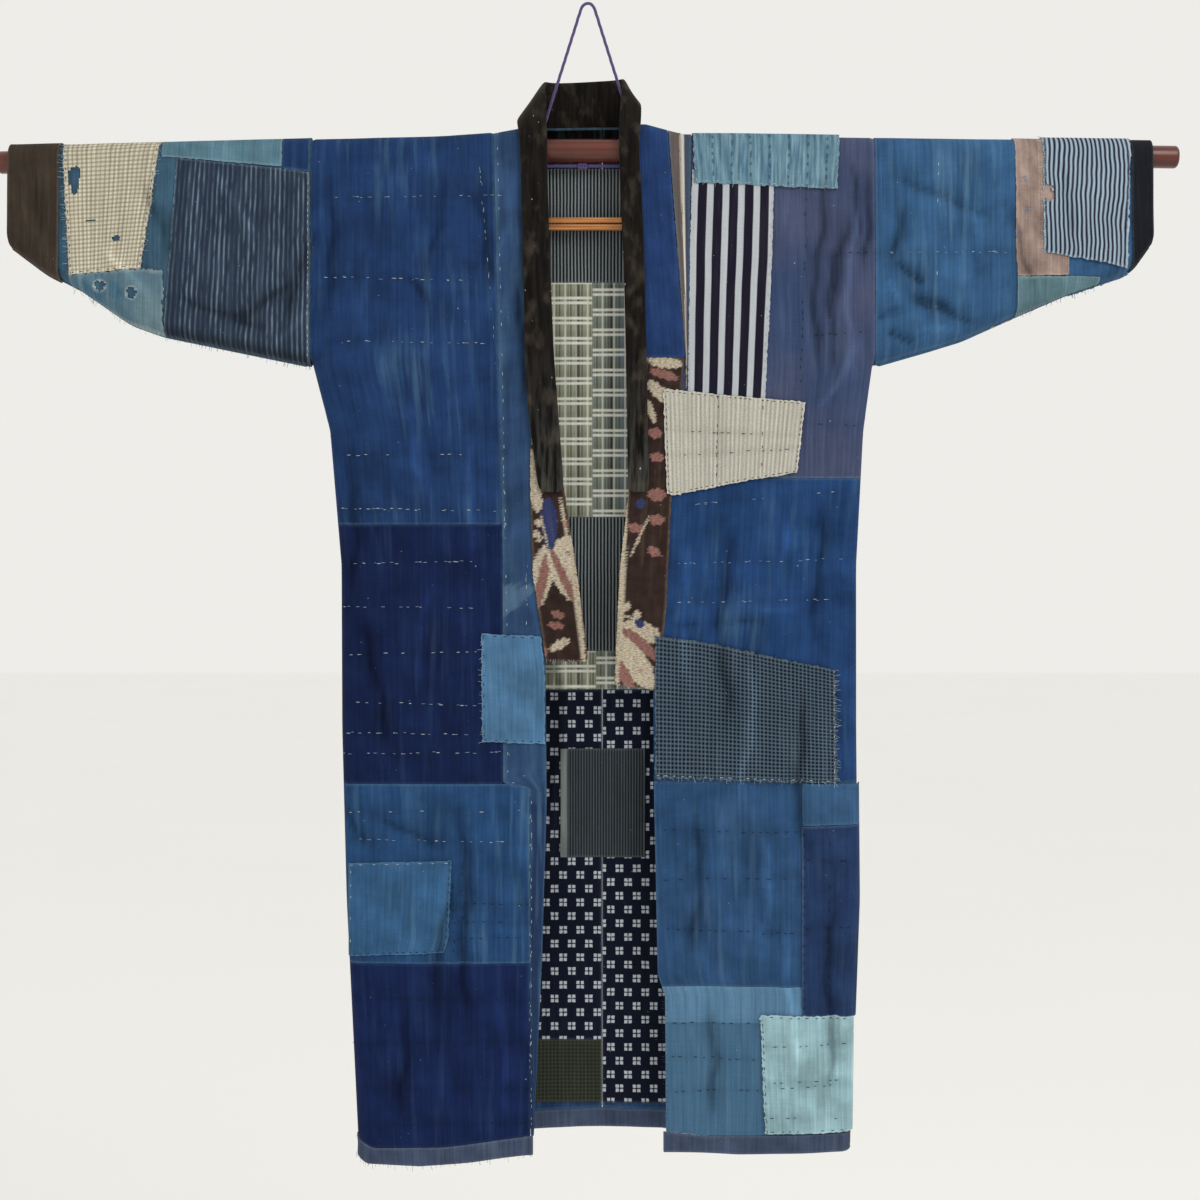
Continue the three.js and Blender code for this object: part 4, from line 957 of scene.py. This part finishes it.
royal_blue = cloth("royal_blue", plain(33, 56, 100), 0.35, dye(66, 98, 136))
brown_strip = cloth("brown_strip", neck_brown, 0.3)
shoulder_teal = cloth("shoulder_teal", teal_shoulder, 0.2, dye(150, 176, 184))
purple = cloth("purple_grey", purple_grey, 0.25, dye(130, 140, 165))
bold = cloth("bold_stripe", bold_stripe, 0.08, dye(150, 150, 150), 0.12, 0.12)
beige = cloth("beige_rib", beige_rib, 0.2, dye(214, 210, 200), 0.15, 0.2)
mid_right = cloth("right_middle", plain(31, 60, 103), 0.45)
dark_check = small_check((12, 18, 29), (94, 115, 132), 0.0043, 0.32)
gingham = cloth("gingham", dark_check, 0.2, dye(120, 136, 150), 0.2)
lower_right = cloth("right_lower", plain(41, 71, 107), 0.45, dye(90, 120, 146))
foot_right = cloth("foot_teal", foot_teal, 0.5, dye(112, 146, 166))
small_blue = cloth("side_small", plain(53, 85, 120), 0.3)
navy = cloth("side_navy", plain(34, 54, 90), 0.25, dye(110, 130, 160))
pale_teal = cloth("pale_teal", plain(139, 172, 180), 0.3, dye(200, 216, 218))

for length, material, slot, *shape in (
    ("upper", purple, "purple_grey", "shoulder"), ("middle", mid_right, "indigo_mid"),
    ("lower", lower_right, "grey_blue"), ("foot", foot_right, "foot_teal"),
):
    lay(f"front_right_{length}", 0, 0.004, material, slot, *shape, tuck=SEAM_TUCK)
lay("hem_front_right", 0, 0.004, hem_grey, "hem_grey")
lay("strip_neck_royal", 1, 0.0025, royal_blue, "royal_blue", "shoulder", ragged=0.0002)
lay("strip_neck_brown", 1, 0.0025, brown_strip, "brown_strip", "shoulder", ragged=0.0002)
lay("patch_bold_stripe", 1, 0.0025, bold, "bold_stripe", ragged=0.0003)
lay("patch_shoulder_teal", 2, 0.0025, shoulder_teal, "teal", "wrap", ragged=0.0004)
lay("patch_beige_rib", 2, 0.0025, beige, "beige_rib", ragged=0.0004)
lay("patch_gingham", 2, 0.0025, gingham, "gingham", ragged=0.0007)
lay("patch_side_small", 1, 0.0025, small_blue, "patch_navy", ragged=0.0002)
lay("patch_side_navy", 1, 0.003, navy, "patch_navy", ragged=0.0002)
lay("patch_hem_pale", 2, 0.0025, pale_teal, "pale_teal", ragged=0.0005)
figures_right = figures([
    ("cream", 66, -398, 104, -402, 60), ("pink", 68, -408, 100, -418, 50),
    ("cream", 66, -420, 92, -446, 70), ("cream", 64, -440, 74, -466, 40), ("pink", 66, -477, 82, -478, 60),
    ("pink", 68, -503, 84, -505, 50), ("pink", 66, -545, 86, -546, 70), ("pink", 68, -572, 84, -574, 60),
    ("pink", 44, -580, 62, -584, 50), ("pink", 66, -604, 80, -612, 50), ("cream", 46, -615, 68, -568, 13),
    ("cream", 36, -665, 42, -600, 10), ("cream", 36, -676, 56, -684, 10),
    ("cream", 34, -690, 80, -702, 120), ("pink", 38, -692, 80, -728, 60),
    ("cream", 30, -700, 72, -758, 140), ("pink", 28, -722, 52, -764, 60), ("blue", 52, -684, 62, -690, 40),
    ("cream", 43, -530, 31, -770, 32),
], [
    ("cream", 43, -668, 42), ("cream", 54, -677, 42), ("pink", 58, -738, 24), ("blue", 58, -555, 50),
])
lay("brocade_right", 1, 0.0013, brocade, "brocade", ragged=0.0003, marks=figures_right)


# ---- Back ----
# Two widths of indigo cotton with a seam down the middle and the same grey hem band. Round the neck, shade
# is painted near black on both faces of the back's cloth.
def back_width(*screen):
    def paint(tree, at, u, v):
        # Painted shade, near black, where the neck value is.
        return tint(tree, mark(tree, "neck"), plain(*screen)(tree, at, u, v), dye(17, 15, 16))
    return paint


def neck_shade(x, z):
    """Where shade is painted near black on the back's cloth round the neck, on both its faces."""
    return {"neck": soft((0.078 - np.abs(x)) / 0.004) * soft((z - bar_z + 0.004) / 0.006)}


back_indigo = cloth("back_indigo", back_width(34, 56, 92), 0.5)
back_pair = cloth("back_pair", back_width(38, 62, 98), 0.5)
lay("back_left", 0, 0.005, back_indigo, "back_indigo", "yoke", tuck=SEAM_TUCK, marks=neck_shade)
lay("back_right", 0, 0.005, back_pair, "back_indigo", "yoke", tuck=SEAM_TUCK, marks=neck_shade)
lay("hem_back", 0, 0.005, hem_grey, "hem_grey", "behind")


# ---- Lining ----
# Worn cottons sewn end to end inside the back, seen through the open front: dark stripes, two plaids and a
# kasuri, whose yarns were dyed in places before weaving so that small white squares came up on navy.
KASURI_X, KASURI_Z = 0.01925, 0.0154
KASURI_HALF, KASURI_SLIT = 0.0044, 0.0006


def lining_stripe(tree, at, u, v):
    line = stripe(tree, waver(tree, at, u, 0.0015, 20.0), 0.0038, 0.36, 0.0, 0.3)
    return tint(tree, line, dye(20, 24, 30), dye(138, 146, 148))


def plaid(ground, right, shift, dark_at):
    def paint(tree, at, u, v):
        colour = tint(tree, spread(tree, u, 0.0, 0.07), dye(*ground), dye(*right))
        weft = stripe(tree, v, 0.0225, 0.45, 0.38 + shift, 0.2)
        colour = tint(tree, calc(tree, "MULTIPLY", weft, 0.3), colour, dye(92, 98, 82))
        for pitch, share, start, screen, strength in (
            (0.0125, 0.16, 0.1, (214, 212, 196), 0.75), (0.0125, 0.13, 0.6, (82, 74, 46), 0.75),
            (0.0125, 0.09, 0.85, (92, 84, 56), 0.6), (0.062, 0.05, dark_at, (30, 30, 26), 0.9),
        ):
            line = calc(tree, "MULTIPLY", stripe(tree, u, pitch, share, start, 0.05), strength)
            colour = tint(tree, line, colour, dye(*screen))
        for start in (0.0, 0.24):
            line = stripe(tree, waver(tree, at, v, 0.001), 0.0225, 0.13, start + shift, 0.06)
            colour = tint(tree, calc(tree, "MULTIPLY", line, 0.9), colour, dye(224, 226, 214))
        return colour
    return paint


def kasuri(row_shift):
    def paint(tree, at, u, v):
        row = calc(tree, "MULTIPLY_ADD", v, 1 / KASURI_Z, row_shift)
        stagger = calc(tree, "FRACT", calc(tree, "MULTIPLY", calc(tree, "FLOOR", row), 0.5))
        column = calc(tree, "ADD", calc(tree, "MULTIPLY", u, 1 / KASURI_X), stagger)
        mask = None
        for value, pitch in ((column, KASURI_X), (row, KASURI_Z)):
            away = calc(tree, "ABSOLUTE", calc(tree, "SUBTRACT", calc(tree, "FRACT", value), 0.5))
            away = waver(tree, at, calc(tree, "MULTIPLY", away, pitch), 0.0016, 260.0)
            inside = calc(tree, "MULTIPLY", spread(tree, away, KASURI_HALF - 0.0005, KASURI_HALF, 1.0, 0.0),
                          spread(tree, away, KASURI_SLIT - 0.0003, KASURI_SLIT + 0.0004))
            mask = inside if mask is None else calc(tree, "MULTIPLY", mask, inside)
        return tint(tree, mask, dye(16, 20, 36), dye(176, 184, 192))
    return paint


def dark_repair(tree, at, u, v):
    """A dark, finely striped patch with a pale selvage down its left side."""
    line = calc(tree, "MULTIPLY", stripe(tree, u, 0.0031, 0.3, 0.0, 0.3), 0.5)
    colour = tint(tree, line, dye(32, 38, 44), dye(104, 112, 114))
    return tint(tree, spread(tree, u, 0.006, 0.0085, 1.0, 0.0), colour, dye(120, 126, 126))


stripe_lining = cloth("lining_stripe", lining_stripe, 0.12, dye(120, 126, 130), 0.2, 0.15)
olive_plaid = plaid((176, 172, 142), (148, 152, 134), 0.0, 0.18)
grey_plaid = plaid((132, 142, 128), (76, 100, 136), 0.42, 0.66)
plaid_olive = cloth("plaid_olive", olive_plaid, 0.12, dye(180, 182, 170), 0.15, 0.15)
plaid_grey = cloth("plaid_grey", grey_plaid, 0.12, dye(170, 178, 180), 0.15, 0.15)
kasuri_left = cloth("kasuri_left", kasuri(0.0), 0.08, dye(90, 100, 120), 0.2, 0.12)
kasuri_right = cloth("kasuri_right", kasuri(0.5), 0.08, dye(90, 100, 120), 0.2, 0.12)
dark_patch = cloth("dark_patch", dark_repair, 0.15, dye(110, 116, 120))
olive = cloth("olive_stripe", small_check((32, 36, 30), (62, 66, 54), 0.0042, 0.4), 0.15, dye(90, 94, 84))
for name, material, slot in (
    ("stripe_upper", stripe_lining, "stripe"), ("plaid_left", plaid_olive, "plaid"),
    ("plaid_right", plaid_grey, "plaid"), ("stripe_lower", stripe_lining, "stripe"),
    ("plaid_low_left", plaid_olive, "plaid"), ("plaid_low_right", plaid_grey, "plaid"),
    ("kasuri_left", kasuri_left, "kasuri"), ("kasuri_right", kasuri_right, "kasuri"),
    ("olive", olive, "olive"),
):
    lay(f"lining_{name}", -1, 0.005, material, f"lining_{slot}", "lining")
lay("lining_patch_dark", -2, 0.004, dark_patch, "lining_dark", "lining")


# ---- Left sleeve ----
# A square-cut tube set into the side, with a brown cuff; a teal band and a pale checked patch cover its top,
# a dark striped one its front, and worn teal cotton with darned holes its underside.
def wavy_lines(tree, at, u, v):
    wandering = waver(tree, at, u, 0.003, 20.0)
    line = stripe(tree, wandering, 0.0055, 0.2, 0.0, 0.4)
    group = stripe(tree, wandering, 0.031, 0.74, 0.2, 0.4)
    broken = noise(tree, at, (260.0, 42.0, 1.0), 4.0)
    line = calc(tree, "MULTIPLY", line, group)
    line = calc(tree, "MULTIPLY", line, spread(tree, broken, 0.36, 0.62, 0.1, 1.0))
    colour = tint(tree, line, dye(36, 47, 64), dye(122, 142, 158))
    return tint(tree, spread(tree, v, 0.006, 0.014, 0.6, 0.0), colour, dye(22, 27, 34))


def worn_teal(tree, at, u, v):
    patch = noise(tree, at, 16.0, 6.0)
    colour = tint(tree, spread(tree, patch, 0.4, 0.7), dye(62, 94, 114), dye(118, 142, 148))
    ragged = spread(tree, noise(tree, at, 300.0, 4.0), 0.35, 0.6, 0.2, 0.85)
    mend = calc(tree, "MULTIPLY", mark(tree, "mend"), ragged)
    return tint(tree, mend, colour, dye(168, 180, 178))


DARNED_HOLES = ((-0.537, -0.315, 0.0062, 0.0055), (-0.502, -0.323, 0.0055, 0.006))


def mended(x, z):
    """A pale ring of darning round each hole."""
    rings = [soft(3 - 2 * np.hypot((x - a) / wide, (z - b) / tall)) for a, b, wide, tall in DARNED_HOLES]
    return {"mend": np.maximum.reduce(rings)}


sleeve_blue = cloth("sleeve_blue", plain(54, 82, 102), 0.5, dye(100, 134, 150))
cuff_brown = cloth("cuff_brown", plain(56, 48, 40), 0.2, dye(120, 110, 98))
band_teal = cloth("band_teal", plain(86, 120, 136), 0.4, dye(160, 180, 186))
cream_check = small_check((206, 200, 182), (110, 100, 70), 0.0047, 0.42)
check_cream = cloth("check_cream", cream_check, 0.2, dye(220, 216, 204), 0.2)
dark_stripe = cloth("wavy_stripe", wavy_lines, 0.2, dye(120, 140, 160))
worn_cloth = cloth("worn_teal", worn_teal, 0.5, dye(186, 192, 184), 0.35)
lay("sleeve_left", 0, 0.004, sleeve_blue, "indigo_faded", "tube")
lay("cuff_left", 2, 0.003, cuff_brown, "cuff_brown", "tube")
lay("sleeve_left_cap", 1, 0.003, indigo_mid, "indigo_mid", "wrap", ragged=0.0002)
lay("sleeve_left_teal", 1, 0.003, band_teal, "teal", "wrap", ragged=0.0003)
lay("sleeve_left_check", 1, 0.0016, check_cream, "check_cream", "wrap", ragged=0.0005, holes=(
    (-0.519, -0.263, 0.0045, 0.0035), (-0.5475, -0.243, 0.0055, 0.0014), (-0.566, -0.196, 0.0065, 0.016)))
lay("sleeve_left_stripe", 1, 0.003, dark_stripe, "wavy_stripe", ragged=0.0004)
lay("sleeve_left_worn", 1, 0.0018, worn_cloth, "teal", ragged=0.0008, holes=DARNED_HOLES, marks=mended)


# ---- Right sleeve ----
# The same square-cut tube in faded blue, with a pinkish brown band, a fine wavy stripe and a teal gusset
# laid on towards its near-black cuff.
def pink_brown(tree, at, u, v):
    patch = noise(tree, at, 26.0, 5.0)
    return tint(tree, spread(tree, patch, 0.36, 0.64), dye(122, 104, 98), dye(168, 146, 136))


def fine_stripe(tree, at, u, v):
    line = stripe(tree, waver(tree, at, u, 0.010, 16.0), 0.0043, 0.48, 0.0, 0.25)
    return tint(tree, line, dye(28, 32, 46), dye(150, 168, 184))


sleeve_faded = cloth("sleeve_faded", plain(48, 82, 118), 0.6, dye(98, 134, 158))
pink_band = cloth("pink_brown", pink_brown, 0.3, dye(196, 180, 172))
stripe_fine = cloth("fine_stripe", fine_stripe, 0.15, dye(170, 184, 196), 0.2, 0.15)
gusset_teal = cloth("gusset_teal", plain(91, 121, 130), 0.4, dye(170, 186, 188))
cuff_black = cloth("cuff_black", plain(24, 26, 32), 0.15, dye(90, 92, 96))
lay("sleeve_right", 0, 0.004, sleeve_faded, "indigo_mid", "tube")
lay("cuff_right", 1, 0.003, cuff_black, "cuff_black", "tube")
lay("sleeve_right_pink", 1, 0.003, pink_band, "pink_brown", "wrap", ragged=0.0003)
lay("sleeve_right_stripe", 2, 0.003, stripe_fine, "fine_stripe", "wrap", ragged=0.0005,
    holes=((0.507, -0.213, 0.006, 0.010),))
lay("sleeve_right_teal", 1, 0.003, gusset_teal, "teal", ragged=0.0003)


# ---- Collar ----
# A long band of black cotton velvet, folded and padded, sewn round the neck; rubbed brown and grey by wear.
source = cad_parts["collar"]
collar = bpy.data.objects.new("collar_velvet", source.data.copy())
bpy.context.scene.collection.objects.link(collar)
collar.data.materials.clear()
pick(collar)
bpy.ops.object.mode_set(mode="EDIT")
bpy.ops.mesh.select_all(action="SELECT")
bpy.ops.mesh.remove_doubles(threshold=0.00005)
bpy.ops.mesh.tris_convert_to_quads(face_threshold=1.2, shape_threshold=1.2)
bpy.ops.object.mode_set(mode="OBJECT")
apply_modifier(collar, "SUBSURF", levels=3)
bpy.ops.object.shade_smooth()
velvet, tree, shader, place = new_material("velvet", 1.0, 0.35)
shader.inputs["Sheen Tint"].default_value = dye(150, 140, 130)
brushed = noise(tree, place, (240.0, 60.0, 26.0), 6.0)
bald = noise(tree, place, (70.0, 40.0, 38.0), 6.0)
pile = tint(tree, spread(tree, brushed, 0.35, 0.75), dye(10, 9, 9), dye(30, 26, 23))
pile = tint(tree, spread(tree, bald, 0.52, 0.7, 0.0, 0.55), pile, dye(70, 63, 54))
height = wire(tree, "ShaderNodeSeparateXYZ", {0: place}).outputs[2]
low_end = spread(tree, height, bar_z - 0.38, bar_z - 0.22, 0.45, 0.0)
pile = tint(tree, calc(tree, "MULTIPLY", low_end, spread(tree, brushed, 0.4, 0.65)), pile, dye(86, 86, 82))
lint = noise(tree, place, 210.0, 1.0)
pile = tint(tree, spread(tree, lint, 0.77, 0.8, 0.0, 0.8), pile, dye(176, 172, 164))
colour_and_relief(tree, shader, pile, calc(tree, "ADD", brushed, bald), 0.5, 0.0012)
collar.data.materials.append(velvet)
finish_piece(collar, "velvet", "collar")


# ---- Stitching ----
# Running stitches in white, pale blue and dark cotton thread, by hand and uneven, hold the layers together
# in rows and each patch down along its edges. One stitch is modelled and copied.
STITCH_RADIUS = 0.00038
thread_dice = np.random.default_rng(11)
cloth_points, cloth_faces = [], []
for piece in cloth_pieces:
    start = len(cloth_points)
    cloth_points.extend(v.co.copy() for v in piece.data.vertices)
    cloth_faces.extend([start + i for i in p.vertices] for p in piece.data.polygons)
cloth_surface = BVHTree.FromPolygons(cloth_points, cloth_faces)


def thread_material(name, *screen):
    material, tree, shader, place = new_material(name, 0.9, 0.05)
    dirt = noise(tree, place, 240.0, 4.0)
    colour = tint(tree, spread(tree, dirt, 0.35, 0.65), shade_of(screen, 0.6), dye(*screen))
    colour_and_relief(tree, shader, colour, dirt, 0.3, 0.0003)
    return material


bpy.ops.object.select_all(action="DESELECT")
bpy.ops.mesh.primitive_uv_sphere_add(segments=6, ring_count=5, radius=1)
bpy.ops.object.shade_smooth()
one_stitch = bpy.context.object


def lie_along(middle, run, outward, length):
    """Where one stitch lies: along its row, flat on the cloth."""
    run = Vector(run).normalized()
    outward = (Vector(outward) - run * run.dot(Vector(outward))).normalized()
    across = outward.cross(run)
    turned = Matrix((run, across, outward)).transposed().to_4x4()
    scale = Matrix.Diagonal((length / 2, STITCH_RADIUS, STITCH_RADIUS, 1))
    return Matrix.Translation(Vector(middle) + outward * 0.0002) @ turned @ scale


def row_stitches(rows, pitch=0.0085, length=0.0048, skip=0.42, face=-1):
    """Stitches along straight rows over the front (-1) or back (1), on whatever cloth is outermost there."""
    found = []
    for start, end in rows:
        start, end = np.array(start), np.array(end)
        total = np.linalg.norm(end - start)
        at = thread_dice.uniform(0, pitch)
        while at < total:
            step = pitch * thread_dice.uniform(0.8, 1.3)
            x, z = start + (end - start) * (at / total) + thread_dice.normal(0, 0.0005, 2)
            at += step
            spot, outward, *_ = cloth_surface.ray_cast(Vector((x, 0.3 * face, z)), Vector((0, -face, 0)))
            if spot is None or outward.y * face < 0.5 or thread_dice.uniform() < skip:
                continue
            run = ((end - start)[0], 0, (end - start)[1])
            found.append(lie_along(spot, run, outward, length * thread_dice.uniform(0.6, 1.3)))
    return found


def lengths_along(line):
    """How far each point of a line is from its start."""
    return np.concatenate([[0], np.cumsum(np.linalg.norm(np.diff(line, axis=0), axis=1))])


def point_on(line, at, place):
    """The point of a line that is a given way along it."""
    return np.array([np.interp(place, at, line[:, k]) for k in range(3)])


def edge_stitches(node, sides, pitch=0.009, length=0.0042, skip=0.1):
    """Stitches that follow a patch's edges, a little inside them."""
    found = []
    for side in sides:
        line = border_lines[node][side]
        at = lengths_along(line)
        place = thread_dice.uniform(0.002, pitch)
        while place < at[-1] - 0.002:
            a, b = point_on(line, at, place - 0.002), point_on(line, at, place + 0.002)
            middle, run = (a + b) / 2, b - a
            place += pitch * thread_dice.uniform(0.8, 1.3)
            outward = Vector((0, -1 if middle[1] < 0 else 1, 0.15))
            if thread_dice.uniform() > skip and abs(Vector(run).normalized().dot(outward)) < 0.8:
                found.append(lie_along(middle, run, outward, length * thread_dice.uniform(0.7, 1.2)))
    return found


def sew(name, shape, places, material, slot):
    """Copies one stitch or thread to many places as a single piece."""
    bpy.ops.object.select_all(action="DESELECT")
    for place in places:
        copy = shape.copy()
        copy.data = shape.data.copy()
        copy.matrix_world = place
        bpy.context.scene.collection.objects.link(copy)
        copy.select_set(True)
    bpy.context.view_layer.objects.active = copy
    bpy.ops.object.join()
    sewn = bpy.context.object
    sewn.name = name
    bpy.ops.object.transform_apply(location=True, rotation=True, scale=True)
    sewn.data.materials.append(material)
    finish_piece(sewn, slot)


darns = [
    ((x, z + i * 0.0018), (x + 0.008, z + i * 0.0018))
    for x, z in ((0.476, -0.200), (0.480, -0.234), (0.472, -0.259)) for i in range(4)
]
back_heights = (-0.31, -0.44, -0.57, -0.70, -0.83, -0.96, -1.09, -1.20)
back_rows = [((-0.25, z), (0.27, z - 0.004)) for z in back_heights]
pale_places = row_stitches(white_rows[::2] + white_rows[1::4], 0.009)
pale_places += row_stitches(darns, 0.003, 0.0026, 0.1)
white_places = row_stitches(white_rows, 0.0095, skip=0.6)
white_places += row_stitches(back_rows, skip=0.5, face=1)
for node, sides, *spacing in (
    ("patch_left_thigh", "top left", 0.012), ("patch_bold_stripe", "right"),
    ("strip_neck_royal", "left", 0.007), ("patch_gingham", "right bottom"), ("overlap_left", "left", 0.016),
    ("sleeve_left_stripe", "right", 0.007), ("patch_shoulder_teal", "left right bottom", 0.011),
):
    white_places += edge_stitches(node, sides.split(), *spacing)
dark_places = row_stitches(dark_rows, skip=0.3)
for node, sides, *spacing in (
    ("patch_left_waist", "top left bottom", 0.010), ("patch_left_thigh", "right bottom", 0.007),
    ("patch_beige_rib", "left right top bottom", 0.0065, 0.0036),
    ("patch_hem_pale", "left top bottom", 0.009), ("sleeve_left_check", "left right bottom", 0.009),
    ("lining_patch_dark", "left right bottom", 0.010), ("patch_side_navy", "left", 0.010),
):
    dark_places += edge_stitches(node, sides.split(), *spacing)
sew("stitches_white", one_stitch, white_places, thread_material("thread_white", 186, 194, 198), "beige_rib")
sew("stitches_pale", one_stitch, pale_places, thread_material("thread_pale", 128, 150, 172), "pale_teal")
sew("stitches_dark", one_stitch, dark_places, thread_material("thread_dark", 34, 36, 44), "indigo_dark")
bpy.data.objects.remove(one_stitch)


# ---- Frayed threads ----
# Where cut edges have come undone, loose ends of cotton yarn stand out from them. One bent end is modelled
# and copied.
bpy.ops.object.select_all(action="DESELECT")
bpy.ops.curve.primitive_bezier_curve_add(radius=0.5)
one_thread = bpy.context.object
one_thread.data.resolution_u = 4
one_thread.data.bevel_depth = 0.035
one_thread.data.bevel_resolution = 0
one_thread.data.use_fill_caps = True
bpy.ops.object.convert(target="MESH")
one_thread = bpy.context.object


def frayed(node, side, pitch, length):
    """Loose yarn ends along one edge of a piece, pointing away from its middle."""
    found = []
    line = border_lines[node][side]
    low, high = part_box(node)
    centre_y = (low.y + high.y) / 2
    at = lengths_along(line)
    place = 0.001
    while place < at[-1]:
        spot = Vector(point_on(line, at, place))
        place += pitch * thread_dice.uniform(0.5, 1.6)
        away = {"bottom": Vector((0, 0, -1)), "left": Vector((-1, 0, 0)), "right": Vector((1, 0, 0))}[side]
        away = (away + Vector(thread_dice.normal(0, 0.35, 3))).normalized()
        size = length * thread_dice.uniform(0.5, 1.3)
        face = -1 if spot.y < centre_y + 0.01 else 1
        turned = away.to_track_quat("X", "Y").to_matrix().to_4x4()
        moved = Matrix.Translation(spot + away * size * 0.5 + Vector((0, face * 0.0006, 0)))
        rolled = Matrix.Rotation(thread_dice.uniform(0, 6.28), 4, "X")
        found.append(moved @ turned @ rolled @ Matrix.Diagonal((size, size * 0.5, 0.006, 1)))
    return found


pale_ends, dark_ends = [], []
# The edge that each row of ends is on, their spacing and their length, in millimetres.
for node, side, pitch, length in (
    ("patch_gingham", "right", 3, 7), ("patch_gingham", "bottom", 5, 6),
    ("sleeve_left_worn", "bottom", 3, 7), ("sleeve_left_check", "right", 4, 6),
    ("sleeve_right_stripe", "left", 3, 7), ("patch_left_waist", "left", 6, 6),
    ("patch_shoulder_teal", "bottom", 6, 5), ("brocade_left", "bottom", 3, 5),
    ("brocade_right", "bottom", 3, 5), ("sleeve_left_check", "left", 3, 7),
):
    pale_ends += frayed(node, side, pitch / 1000, length / 1000)
for node, side, pitch, length in (
    ("sleeve_left_stripe", "bottom", 3, 7), ("hem_front_left", "bottom", 6, 6),
    ("front_right_foot", "left", 4, 6), ("patch_hem_pale", "left", 6, 5),
    ("sleeve_right_teal", "bottom", 3, 6), ("hem_back", "bottom", 8, 6),
):
    dark_ends += frayed(node, side, pitch / 1000, length / 1000)
sew("frayed_pale", one_thread, pale_ends, thread_material("yarn_pale", 178, 190, 194), "gingham")
sew("frayed_dark", one_thread, dark_ends, thread_material("yarn_dark", 52, 70, 98), "indigo_mid")
bpy.data.objects.remove(one_thread)


# ---- Light and floor ----
# A wide soft lamp high on the right, a weaker one on the left at half height, and a plain pale studio floor.
bpy.context.scene.view_settings.view_transform = "Standard"
world = bpy.data.worlds.new("studio")
bpy.context.scene.world = world
world.use_nodes = True
world.node_tree.nodes["Background"].inputs["Color"].default_value = dye(240, 239, 235)
world.node_tree.nodes["Background"].inputs["Strength"].default_value = 0.98
for place, aim, size, power in (
    ((1.6, -2.0, 1.1), (0, 0, -0.6), 1.4, 30.0),
    ((-2.4, -1.6, -0.4), (0, 0, -0.7), 1.6, 6.0),
):
    bpy.ops.object.light_add(type="AREA", location=place)
    lamp = bpy.context.object
    lamp.data.size = size
    lamp.data.energy = power
    lamp.rotation_euler = (Vector(aim) - Vector(place)).to_track_quat("-Z", "Y").to_euler()
bpy.ops.object.select_all(action="DESELECT")
bpy.ops.mesh.primitive_plane_add(size=60, location=(0, 0, -1.85))
floor = bpy.context.object
floor.name = "studio_floor"
floor_paint, tree, shader, place = new_material("floor_paint", 0.9)
dust = noise(tree, place, 0.7)
tree.links.new(tint(tree, dust, dye(250, 249, 247), dye(253, 252, 250)), shader.inputs["Base Color"])
floor.data.materials.append(floor_paint)
